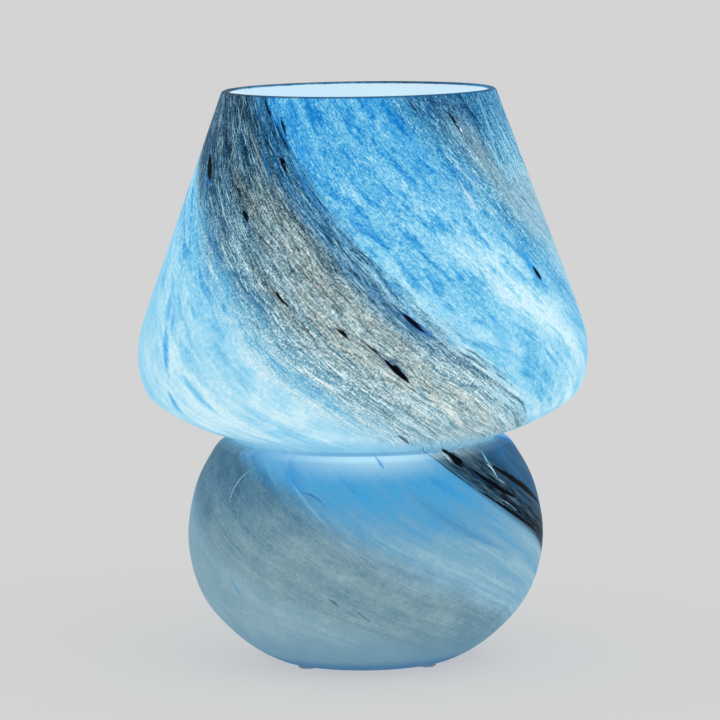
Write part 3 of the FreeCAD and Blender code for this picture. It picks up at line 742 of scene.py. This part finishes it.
def stroke_group():
    """One lens-shaped mark on the unrolled surface, mixed over the colour below it."""
    grp = bpy.data.node_groups.new("glass_mark", "ShaderNodeTree")
    for name, kind in (("Under", "NodeSocketColor"), ("Place", "NodeSocketVector"), ("Ragged", "NodeSocketFloat"),
                       ("Along", "NodeSocketVector"), ("Across", "NodeSocketVector"), ("Curve", "NodeSocketFloat"),
                       ("Rag", "NodeSocketFloat"), ("Soft0", "NodeSocketFloat"), ("Soft1", "NodeSocketFloat"),
                       ("Strength", "NodeSocketFloat"), ("Tint", "NodeSocketColor")):
        grp.interface.new_socket(name, in_out="INPUT", socket_type=kind)
    grp.interface.new_socket("Over", in_out="OUTPUT", socket_type="NodeSocketColor")
    gi = grp.nodes.new("NodeGroupInput")
    go = grp.nodes.new("NodeGroupOutput")

    def dot(a_, b_):
        n = grp.nodes.new("ShaderNodeVectorMath")
        n.operation = "DOT_PRODUCT"
        grp.links.new(gi.outputs[a_], n.inputs[0])
        grp.links.new(gi.outputs[b_], n.inputs[1])
        return n.outputs["Value"]

    def calc(op, *args):
        n = grp.nodes.new("ShaderNodeMath")
        n.operation = op
        for i, v in enumerate(args):
            if isinstance(v, (int, float)):
                n.inputs[i].default_value = v
            else:
                grp.links.new(v, n.inputs[i])
        return n.outputs[0]

    al, ac = dot("Place", "Along"), dot("Place", "Across")
    lens = calc("SUBTRACT", 1.0, calc("MULTIPLY", al, al))
    off = calc("ABSOLUTE", calc("MULTIPLY_ADD", lens, gi.outputs["Curve"], ac))
    inside = calc("SUBTRACT", lens, calc("MULTIPLY_ADD", gi.outputs["Ragged"], gi.outputs["Rag"], off))
    mr = grp.nodes.new("ShaderNodeMapRange")
    mr.interpolation_type = "SMOOTHSTEP"
    grp.links.new(inside, mr.inputs["Value"])
    grp.links.new(gi.outputs["Soft0"], mr.inputs["From Min"])
    grp.links.new(gi.outputs["Soft1"], mr.inputs["From Max"])
    mr.inputs["To Min"].default_value = 0.0
    grp.links.new(gi.outputs["Strength"], mr.inputs["To Max"])
    mx = grp.nodes.new("ShaderNodeMix")
    mx.data_type = "RGBA"
    grp.links.new(mr.outputs["Result"], mx.inputs[0])
    grp.links.new(gi.outputs["Under"], mx.inputs[6])
    grp.links.new(gi.outputs["Tint"], mx.inputs[7])
    grp.links.new(mx.outputs[2], go.inputs[0])
    return grp


MARK = stroke_group()


def stroke(col, points, width, colour, strength=1.0, taper=True):
    mid_z = sum(p[1] for p in points) / len(points)
    rz = rz_base if mid_z < 93.0 else rz_shade
    k = float(np.interp(mid_z, rz[:, 1], rz[:, 0])) * math.pi / 180.0
    flat = [(p[0] * k, p[1]) for p in points]
    (ax, az), (bx, bz) = flat[0], flat[-1]
    cx, cz = (ax + bx) / 2.0, (az + bz) / 2.0
    length = math.hypot(bx - ax, bz - az)
    ux, uz = (bx - ax) / length, (bz - az) / length
    nx, nz = -uz, ux
    half_w = width / 2.0 + 0.03
    reach = length / 2.0 * (1.10 if taper else 1.45) + 0.25 * half_w
    # how far the middle of the line stands off its chord
    sag = 0.0
    if len(points) > 2:
        offs = [(p[0] - cx) * nx + (p[1] - cz) * nz for p in flat[1:-1]]
        sag = max(offs, key=abs)
    n = g.new("ShaderNodeGroup")
    n.node_tree = MARK
    n.inputs["Along"].default_value = (ux * k / reach, uz / reach, -(ux * cx + uz * cz) / reach)
    n.inputs["Across"].default_value = (nx * k / half_w, nz / half_w, -(nx * cx + nz * cz) / half_w)
    n.inputs["Curve"].default_value = -sag / half_w
    n.inputs["Rag"].default_value = 0.7 + 0.10 / half_w + (1.4 if max(colour) > 110 and width > 1.0 else 0.0)
    pale = max(colour) > 110 and width > 1.0                     # coloured stains fade out, dark ones don't
    n.inputs["Soft0"].default_value = -0.55 if pale else -0.08 - 0.05 / half_w
    n.inputs["Soft1"].default_value = 0.85 if pale else 0.20 + 0.05 / half_w
    n.inputs["Strength"].default_value = strength
    n.inputs["Tint"].default_value = tuple(srgb(*colour)) + (1.0,)
    g.put(n.inputs["Under"], col)
    g.put(n.inputs["Place"], flat_pos)
    g.put(n.inputs["Ragged"], fibre)
    return Sock(g, n.outputs[0])


STROKES = [
    # shade: left black lens with its blue tail
    (((-66.3, 210.5), (-60.8, 202.0)), 3.60, (14, 92, 170), 0.80, 1),
    (((-68.9, 215.2), (-62.1, 205.6)), 4.30, (2, 4, 10), 1.00, 1),
    # dark strokes along the smoky band
    (((-41.7, 238.2), (-38.8, 234.7), (-36.5, 231.4)), 0.92, (8, 20, 32), 1.00, 1),
    (((-34.4, 230.1), (-30.7, 225.1), (-26.7, 219.5)), 0.76, (10, 24, 38), 0.90, 1),
    (((-32.0, 231.6), (-28.4, 224.6)), 1.10, (6, 14, 30), 0.95, 1),
    (((-29.5, 216.8), (-25.9, 210.2)), 1.64, (6, 8, 16), 1.00, 1),
    (((-37.6, 218.4), (-34.5, 212.6), (-31.2, 206.4)), 1.85, (0, 104, 160), 0.90, 1),
    (((-48.0, 233.1), (-43.1, 225.3)), 3.36, (16, 62, 92), 0.70, 1),
    (((-46.3, 204.7), (-41.6, 199.5)), 1.09, (6, 26, 40), 0.90, 1),
    (((-46.0, 226.0), (-38.7, 216.4), (-31.5, 205.6)), 1.01, (168, 190, 188), 0.45, 1),
    (((-55.1, 238.4), (-53.0, 228.4), (-53.1, 217.1), (-53.3, 208.2)), 0.50, (150, 196, 208), 0.55, 0),
    (((-74.0, 207.3), (-67.9, 201.3), (-62.7, 194.5)), 0.55, (40, 84, 112), 0.70, 0),
    (((-40.3, 194.8), (-36.6, 189.9)), 1.76, (4, 8, 14), 1.00, 1),
    (((-24.4, 164.3), (-22.2, 161.1), (-19.7, 158.0)), 1.25, (6, 8, 14), 1.00, 1),
    (((-7.0, 150.2), (-5.2, 148.3), (-3.3, 145.2)), 1.51, (6, 10, 16), 1.00, 1),
    (((9.4, 156.2), (13.2, 151.4), (17.4, 145.8)), 4.40, (18, 104, 172), 0.80, 1),
    (((10.4, 154.7), (13.0, 151.3), (15.6, 147.5)), 2.10, (6, 14, 34), 1.00, 1),
    (((8.8, 156.7), (10.4, 154.5)), 1.26, (14, 84, 140), 0.70, 1),
    (((-0.2, 144.8), (2.7, 141.2), (5.5, 136.6)), 0.92, (14, 18, 22), 0.95, 1),
    (((3.6, 139.6), (7.4, 134.2), (11.6, 127.2)), 4.00, (34, 94, 140), 0.60, 1),
    (((5.1, 137.4), (7.7, 133.6), (11.2, 127.9)), 2.40, (4, 6, 12), 1.00, 1),
    (((13.3, 125.2), (16.1, 120.1)), 2.10, (70, 138, 178), 0.70, 1),
    (((9.1, 105.2), (15.7, 99.0)), 1.09, (52, 58, 62), 0.85, 1),
    (((-41.7, 174.1), (-37.7, 168.9), (-32.5, 162.7)), 1.26, (20, 84, 132), 0.70, 1),
    (((-29.9, 153.1), (-26.0, 147.2)), 0.92, (30, 66, 90), 0.35, 1),
    (((-16.2, 152.5), (-11.2, 143.9)), 0.67, (20, 36, 46), 0.80, 1),
    (((-4.8, 179.9), (-1.6, 173.8), (1.1, 168.4)), 2.10, (18, 92, 150), 0.70, 1),
    (((2.9, 173.8), (6.0, 167.9), (9.3, 161.3)), 1.68, (16, 80, 138), 0.70, 1),
    (((-10.6, 186.1), (-7.5, 180.7)), 1.09, (10, 40, 66), 0.75, 1),
    # shade: upper right
    (((27.1, 237.5), (28.1, 231.1)), 2.52, (12, 92, 152), 0.70, 1),
    (((19.8, 238.5), (23.4, 232.8)), 0.92, (12, 40, 66), 0.85, 1),
    (((35.4, 234.4), (39.2, 228.9), (41.5, 222.8)), 1.05, (4, 14, 26), 1.00, 1),
    (((46.0, 236.2), (49.6, 231.8), (54.1, 226.3)), 1.26, (10, 54, 94), 0.85, 1),
    (((41.3, 226.2), (41.7, 224.2)), 0.92, (236, 248, 252), 0.90, 1),
    (((57.5, 238.0), (58.0, 232.0), (58.0, 223.7), (57.1, 212.0)), 1.43, (134, 200, 222), 0.75, 0),
    (((34.9, 205.8), (37.1, 199.8), (40.1, 192.0)), 1.34, (206, 228, 240), 0.85, 1),
    (((34.2, 210.2), (40.0, 207.5), (44.3, 203.3)), 5.04, (78, 154, 208), 0.55, 1),
    (((62.9, 197.3), (67.7, 193.9), (71.7, 189.2)), 0.76, (70, 116, 142), 0.80, 1),
    (((53.4, 175.5), (56.9, 169.2), (60.2, 160.0)), 4.40, (48, 158, 230), 0.80, 1),
    (((57.6, 168.6), (59.9, 163.0)), 2.60, (2, 14, 30), 1.00, 1),
    (((51.9, 136.5), (54.0, 132.9), (57.6, 128.0)), 1.43, (44, 160, 232), 0.85, 1),
    (((34.9, 152.5), (36.9, 149.7)), 1.26, (50, 160, 232), 0.75, 1),
    (((35.8, 149.4), (37.3, 143.0), (39.6, 136.3)), 5.46, (92, 186, 240), 0.55, 1),
    (((39.2, 181.8), (40.6, 178.1)), 1.85, (86, 180, 236), 0.60, 1),
    (((43.5, 173.9), (45.3, 168.5)), 2.10, (110, 196, 240), 0.60, 1),
    (((-23.5, 222.9), (-20.8, 218.3), (-17.2, 212.5)), 3.78, (24, 142, 224), 0.60, 1),
    (((-30.2, 234.2), (-25.4, 223.7)), 2.52, (40, 150, 222), 0.50, 1),
    # shade: left
    (((-61.5, 145.1), (-58.9, 136.6), (-57.6, 127.8)), 5.00, (58, 172, 236), 0.95, 1),
    (((-64.0, 158.0), (-61.5, 148.5)), 6.00, (80, 180, 236), 0.80, 1),
    (((-59.8, 152.0), (-57.6, 144.5)), 3.40, (70, 176, 236), 0.70, 1),
    (((-58.6, 119.4), (-56.6, 111.2)), 4.40, (66, 174, 234), 0.90, 1),
    (((-50.4, 127.2), (-45.9, 120.6), (-41.2, 113.5)), 4.60, (104, 194, 238), 0.85, 1),
    (((-33.2, 131.1), (-28.6, 122.3)), 1.68, (120, 196, 234), 0.55, 1),
    (((-61.6, 156.4), (-56.2, 148.3)), 2.10, (96, 186, 234), 0.50, 1),
    # base: black streaks, fine boundary lines
    (((35.9, 92.6), (38.4, 88.0)), 4.60, (2, 8, 18), 1.00, 0),
    (((37.8, 88.7), (41.2, 84.8), (46.3, 81.1), (51.5, 76.6)), 1.26, (14, 50, 80), 0.85, 1),
    (((27.4, 92.6), (28.2, 90.9), (32.3, 86.6), (37.5, 81.8), (42.8, 76.8)), 0.55, (10, 40, 62), 0.95, 0),
    (((40.8, 78.8), (47.4, 73.3), (52.2, 68.9), (60.5, 63.3), (68.5, 57.7), (76.2, 52.9)), 1.70, (3, 10, 20), 1.00, 1),
    (((32.6, 92.6), (33.2, 91.5), (33.8, 89.1), (37.6, 85.2)), 0.63, (16, 40, 58), 0.90, 1),
    (((33.2, 92.6), (33.6, 91.2), (34.2, 89.0)), 0.46, (210, 232, 242), 0.80, 1),
    (((51.6, 87.3), (57.2, 83.1), (62.5, 79.1), (69.6, 73.7), (83.6, 63.9)), 3.30, (1, 3, 8), 1.00, 1),
    (((42.6, 85.7), (47.0, 81.4), (51.4, 77.6), (60.5, 71.6)), 2.60, (1, 4, 10), 1.00, 1),
    (((60.3, 77.4), (63.6, 74.4)), 1.68, (14, 76, 120), 0.85, 1),
    (((62.7, 71.7), (66.8, 68.4)), 1.93, (20, 90, 136), 0.75, 1),
    (((52.6, 90.9), (52.1, 88.5), (53.8, 85.8)), 1.26, (128, 204, 226), 0.95, 1),
    (((50.9, 86.6), (53.1, 83.9), (53.2, 80.5)), 0.80, (170, 224, 238), 0.95, 1),
    (((53.2, 80.5), (56.9, 77.6)), 0.50, (150, 196, 214), 0.70, 1),
    (((50.9, 72.5), (54.6, 70.2), (58.9, 66.2)), 0.42, (150, 190, 206), 0.70, 1),
    (((65.4, 72.0), (76.1, 64.5)), 0.50, (20, 26, 36), 0.80, 1),
    (((66.2, 67.3), (76.0, 59.8)), 0.50, (30, 44, 56), 0.70, 1),
    # base: blue runs and hair lines
    (((16.9, 78.5), (20.9, 72.4), (25.1, 68.9), (30.4, 64.8), (36.0, 59.8), (46.2, 54.6)), 5.40, (66, 140, 190), 0.70, 1),
    (((30.0, 74.0), (38.0, 67.0), (48.0, 60.5)), 6.50, (96, 158, 194), 0.45, 1),
    (((79.0, 93.3), (84.0, 91.2), (92.0, 88.0)), 4.60, (40, 118, 186), 0.70, 1),
    (((68.0, 92.0), (66.0, 90.5), (65.9, 86.7)), 3.78, (44, 116, 176), 0.60, 1),
    (((-45.6, 86.0), (-49.1, 82.8), (-51.1, 78.5), (-51.7, 74.7), (-50.4, 72.1)), 0.63, (150, 188, 204), 0.80, 1),
    (((-40.7, 86.2), (-30.5, 78.0)), 2.60, (54, 120, 172), 0.55, 1),
    (((-29.5, 90.0), (-26.7, 85.4), (-21.8, 78.7)), 6.00, (56, 146, 212), 0.60, 1),
    (((-27.2, 83.1), (-21.0, 77.1), (-15.4, 69.8), (-11.4, 65.3)), 1.26, (128, 176, 208), 0.70, 1),
    (((-22.2, 79.1), (-18.8, 78.2), (-15.8, 77.2), (-12.7, 73.7)), 0.84, (58, 112, 166), 0.75, 1),
    (((4.4, 92.6), (5.7, 91.4), (6.8, 88.7)), 1.43, (66, 152, 214), 0.85, 1),
    (((-49.0, 41.2), (-46.8, 37.7), (-44.4, 32.9)), 1.43, (88, 150, 190), 0.75, 1),
    (((-12.3, 36.8), (-10.4, 35.2), (-8.9, 33.0)), 0.84, (66, 84, 96), 0.70, 1),
    (((-7.0, 31.8), (-4.8, 30.0), (-2.2, 27.8)), 1.68, (84, 138, 170), 0.60, 1),
    (((-4.7, 32.7), (1.8, 25.9)), 0.84, (80, 96, 108), 0.55, 1),
]
for points, width, colour, strength, taper in STROKES:
    col = stroke(col, points, width, colour, strength, bool(taper))

# the same kinds of mark on the far side
for i in range(15):
    z0 = 112.0 + (i * 47) % 118
    a0 = 104.0 + (i * 61) % 150
    a0 = a0 - 360.0 if a0 > 180.0 else a0
    if abs(a0) > 172.0:
        a0 = math.copysign(168.0, a0)
    long = 4.0 + (i * 7) % 5
    slope = 0.70
    pts = ((a0 - slope * long / 2, z0 + long / 2), (a0 + slope * long / 2, z0 - long / 2))
    kind = i % 3
    if kind == 0:
        col = stroke(col, pts, 2.0, (6, 10, 18), 1.0, True)
    elif kind == 1:
        col = stroke(col, pts, 1.1, (16, 44, 66), 0.9, True)
    else:
        col = stroke(col, pts, 3.2, (44, 150, 224), 0.6, True)
for a0, z0, long, w, c in ((-118.0, 72.0, 14.0, 2.2, (4, 10, 18)), (-128.0, 66.0, 12.0, 1.2, (20, 48, 70)), (150.0, 60.0, 12.0, 2.6, (66, 140, 194)),
                           (118.0, 40.0, 10.0, 1.2, (60, 90, 110)), (-160.0, 44.0, 12.0, 1.0, (190, 212, 220))):
    col = stroke(col, ((a0 - long * 0.7, z0 + long / 2), (a0 + long * 0.7, z0 - long / 2)), w, c, 0.9, True)

# the rim is rolled and carries the colour, darker
rim = g.step(239.1, 239.6, zg)
col = g.mix(rim * 0.85, col, g.mix(g.step(-60.0, 40.0, th) * g.step(179.0, 120.0, th), srgb(50, 70, 92), srgb(40, 96, 140)))

g.put(g.p.inputs["Base Color"], g.mix(0.45, (0.0, 0.0, 0.0), col))
g.put(g.p.inputs["Emission Color"], col)
g.p.inputs["Emission Strength"].default_value = 0.68
g.p.inputs["Specular IOR Level"].default_value = 0.03
g.put(g.p.inputs["Roughness"], 0.50 + grain * 0.16)
g.bump(fibre * 0.5 + streak * 0.5, 0.10, 0.0006)
swirl = g.mat
swirl.cycles.emission_sampling = "NONE"

# opal inner skin
g = Graph("opal_inside", 0.32)
qx, qy, qz = g.split(g.vmath("SCALE", g.coord(), scale=1000.0))
cloud = g.noise(g.vmath("SCALE", g.coord(), scale=1000.0), 0.02, 3.0, 0.5)
tone = g.ramp(g.clamp(0.5 + (cloud - 0.5) * 0.8), [(0.0, srgb(198, 230, 249)), (0.5, srgb(211, 238, 252)), (1.0, srgb(226, 246, 254))])
g.put(g.p.inputs["Base Color"], g.mix(0.35, (0.0, 0.0, 0.0), tone))
g.put(g.p.inputs["Emission Color"], tone)
g.p.inputs["Emission Strength"].default_value = 0.66
g.p.inputs["Specular IOR Level"].default_value = 0.4
g.bump(cloud, 0.05, 0.001)
g.mat.cycles.emission_sampling = "NONE"
glass.data.materials.append(swirl)
glass.data.materials.append(g.mat)


# =====================================================================================
# Materials of the fittings
# =====================================================================================
def fitting(name, base, rough, metal=0.0, grain_scale=900.0, spread=0.10, rough_spread=0.10, bump=0.04, stretch=None, spec=0.5):
    g = Graph(name, rough)
    pos = g.coord()
    if stretch is not None:
        pos = g.vmath("MULTIPLY", pos, stretch)
    n1 = g.noise(pos, grain_scale, 4.0, 0.6)
    n2 = g.noise(g.coord(), 60.0, 3.0, 0.5)
    dark = tuple(c * (1.0 - spread) for c in base)
    light = tuple(min(1.0, c * (1.0 + spread)) for c in base)
    g.put(g.p.inputs["Base Color"], g.mix(n1 * 0.6 + n2 * 0.4, dark, light))
    g.put(g.p.inputs["Roughness"], rough + (n1 - 0.5) * rough_spread + (n2 - 0.5) * rough_spread)
    g.p.inputs["Metallic"].default_value = metal
    g.p.inputs["Specular IOR Level"].default_value = spec
    if bump:
        g.bump(n1, bump, 0.0002)
    return g.mat


M = {}
M["zinc_steel"] = fitting("zinc_steel", srgb(196, 198, 196), 0.34, 1.0, 500.0, 0.10, 0.16, 0.05, (1.0, 1.0, 6.0))
M["spring_steel"] = fitting("spring_steel", srgb(96, 100, 108), 0.28, 1.0, 400.0, 0.15, 0.12, 0.03, (1.0, 8.0, 1.0))
M["soft_sleeve"] = fitting("soft_sleeve", srgb(206, 205, 200), 0.72, 0.0, 1500.0, 0.05, 0.08, 0.10)
M["nylon"] = fitting("nylon", srgb(222, 220, 212), 0.52, 0.0, 1200.0, 0.04, 0.08, 0.08)
M["holder_phenolic"] = fitting("holder_phenolic", srgb(30, 30, 32), 0.42, 0.0, 1400.0, 0.18, 0.12, 0.10)
M["porcelain"] = fitting("porcelain", srgb(232, 228, 216), 0.30, 0.0, 700.0, 0.03, 0.10, 0.03)
M["contact_brass"] = fitting("contact_brass", srgb(206, 170, 96), 0.30, 1.0, 600.0, 0.10, 0.14, 0.03)
M["bulb_collar"] = fitting("bulb_collar", srgb(232, 232, 230), 0.48, 0.0, 1300.0, 0.03, 0.08, 0.06)
M["nickel_cap"] = fitting("nickel_cap", srgb(200, 198, 190), 0.24, 1.0, 500.0, 0.07, 0.12, 0.02, (1.0, 1.0, 5.0))
M["black_insulator"] = fitting("black_insulator", srgb(18, 18, 20), 0.18, 0.0, 900.0, 0.25, 0.08, 0.04)
M["tin_contact"] = fitting("tin_contact", srgb(186, 182, 170), 0.36, 1.0, 700.0, 0.10, 0.16, 0.10)
M["board_white"] = fitting("board_white", srgb(236, 236, 232), 0.38, 0.0, 1100.0, 0.02, 0.08, 0.02)
M["board_green"] = fitting("board_green", srgb(30, 96, 56), 0.36, 0.0, 500.0, 0.25, 0.12, 0.05)

g = Graph("clear_silicone", 0.30)
n = g.noise(g.coord(), 700.0, 3.0, 0.5)
g.put(g.p.inputs["Base Color"], g.mix(n, srgb(226, 232, 234), srgb(240, 244, 246)))
g.p.inputs["Transmission Weight"].default_value = 0.75
g.p.inputs["IOR"].default_value = 1.30
g.bump(n, 0.03, 0.0002)
M["clear_silicone"] = g.mat

g = Graph("bulb_opal", 0.34)
n = g.noise(g.coord(), 260.0, 3.0, 0.5)
lo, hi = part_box("bulb_globe")
bulb_z = g.split(g.coord())[2]
level = (bulb_z - (lo.z + hi.z) / 2.0) * (2.0 / (hi.z - lo.z))
level = g.clamp(1.0 - level * level * 0.85 + (n - 0.5) * 0.06)                      # brightest round its middle
tone = g.mix(level, srgb(206, 218, 226), srgb(255, 255, 255))
g.put(g.p.inputs["Base Color"], g.mix(0.4, (0.0, 0.0, 0.0), tone))
g.put(g.p.inputs["Emission Color"], tone)
g.p.inputs["Emission Strength"].default_value = 0.80
g.bump(n, 0.02, 0.0002)
M["bulb_opal"] = g.mat

g = Graph("led_phosphor", 0.4)
n = g.noise(g.coord(), 900.0, 2.0, 0.5)
tone = g.mix(n, srgb(238, 206, 90), srgb(250, 222, 120))
g.put(g.p.inputs["Base Color"], tone)
g.put(g.p.inputs["Emission Color"], tone)
g.p.inputs["Emission Strength"].default_value = 1.2
M["led_phosphor"] = g.mat

slots = {s["node"]: s["material_slot"] for s in frame["record"]["subparts"]}
for name, ob in nodes.items():
    if name == "glass_body":
        continue
    mat = M[slots[name]]
    ob.data.materials.clear()
    ob.data.materials.append(mat)


# =====================================================================================
# Threads: rolled E27 thread on the bulb's shell, M10x1 on the tube
# =====================================================================================
def rolled_thread(name, z0, z1, crest, root, pitch, inner_r, tool, body, node, slot_name, per_turn=64, rows_per_pitch=12, wave=True):
    """Tube whose outside carries a right-hand helical thread that fades out at both ends."""
    rows = int((z1 - z0) / pitch * rows_per_pitch) + 1
    zs = np.linspace(z0, z1, rows)
    v, f = [], []
    for z in zs:
        fade = min(1.0, (z - z0) / (0.5 * pitch), (z1 - z) / (0.5 * pitch))
        fade = max(0.0, fade)
        for k in range(per_turn):
            a = 2 * math.pi * k / per_turn
            phase = (z / pitch - a / (2 * math.pi)) * 2 * math.pi
            h = 0.5 + 0.5 * math.cos(phase)
            if not wave:
                h = abs(((z / pitch - a / (2 * math.pi)) % 1.0) * 2 - 1)
            r = root + (crest - root) * h * fade
            v.append((r * math.cos(a) / 1000, r * math.sin(a) / 1000, z / 1000))
    n_outer = len(v)
    for z in zs[::-1]:
        fade = max(0.0, min(1.0, (z - z0) / (0.5 * pitch), (z1 - z) / (0.5 * pitch)))
        for k in range(per_turn):
            a = 2 * math.pi * k / per_turn
            if wave:
                phase = (z / pitch - a / (2 * math.pi)) * 2 * math.pi
                r = inner_r + (crest - root) * (0.5 + 0.5 * math.cos(phase)) * fade
            else:
                r = inner_r
            v.append((r * math.cos(a) / 1000, r * math.sin(a) / 1000, z / 1000))
    total = 2 * rows
    for i in range(total):
        i2 = (i + 1) % total
        for k in range(per_turn):
            k2 = (k + 1) % per_turn
            f.append((i * per_turn + k, i * per_turn + k2, i2 * per_turn + k2, i2 * per_turn + k))
    ob = mesh_object(name, v, f)
    ob.data.materials.append(M[slot_name])
    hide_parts(node)
    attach(ob, body)
    return ob


lo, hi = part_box("threaded_tube")
rolled_thread("tube_threaded", lo.z * 1000, hi.z * 1000, 5.0, 4.42, 1.0, 3.9, None, "lamp", "threaded_tube", "zinc_steel", 48, 8, wave=False)

# the bulb's shell: plain neck, rolled thread, in-turned lower edge
lo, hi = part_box("bulb_screw_shell")
zb, zt = lo.z * 1000, hi.z * 1000
PITCH = 3.62
rows, v, f = [], [], []
N = 96
steps = 150
for s_i in range(steps + 1):
    z = zb + 1.2 + (zt - zb - 1.2) * s_i / steps
    rows.append(("o", z))
for s_i in range(steps + 1):
    z = zt - (zt - zb - 1.2) * s_i / steps
    rows.append(("i", z))


def shell_radius(z, a):
    low = min(1.0, max(0.0, (z - (zb + 1.0)) / 2.2))
    fade = min(1.0, max(0.0, (z - (zb + 2.0)) / 2.0), max(0.0, (zt - 3.0 - z) / 2.0))
    phase = (z / PITCH - a / (2 * math.pi)) * 2 * math.pi
    h = 0.5 + 0.5 * math.cos(phase)
    base_r = 12.05 + 0.3 * low
    r = base_r + (13.05 - base_r) * h * fade
    if z > zt - 3.0:
        q = min(1.0, (z - (zt - 3.0)) / 2.0)
        r = max(r, base_r + (13.05 - base_r) * q * q * (3 - 2 * q))
    if z > zt - 0.8:
        r = max(r, 13.05 + 0.25 * (z - (zt - 0.8)) / 0.8)
    return r


for kind, z in rows:
    for k_i in range(N):
        a = 2 * math.pi * k_i / N
        r = shell_radius(z, a) - (0.32 if kind == "i" else 0.0)
        v.append((r * math.cos(a) / 1000, r * math.sin(a) / 1000, z / 1000))
# turned-in lower edge
for r, z in ((11.5, zb + 0.75), (11.45, zb + 0.35), (11.6, zb + 0.05), (11.95, zb + 0.5)):
    for k_i in range(N):
        a = 2 * math.pi * k_i / N
        v.append((r * math.cos(a) / 1000, r * math.sin(a) / 1000, z / 1000))
total = len(v) // N
for i in range(total):
    i2 = (i + 1) % total
    for k_i in range(N):
        k2 = (k_i + 1) % N
        f.append((i * N + k_i, i * N + k2, i2 * N + k2, i2 * N + k_i))
cap = mesh_object("bulb_cap_thread", v, f)
cap.data.materials.append(M["nickel_cap"])
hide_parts("bulb_screw_shell")
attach(cap, "bulb")
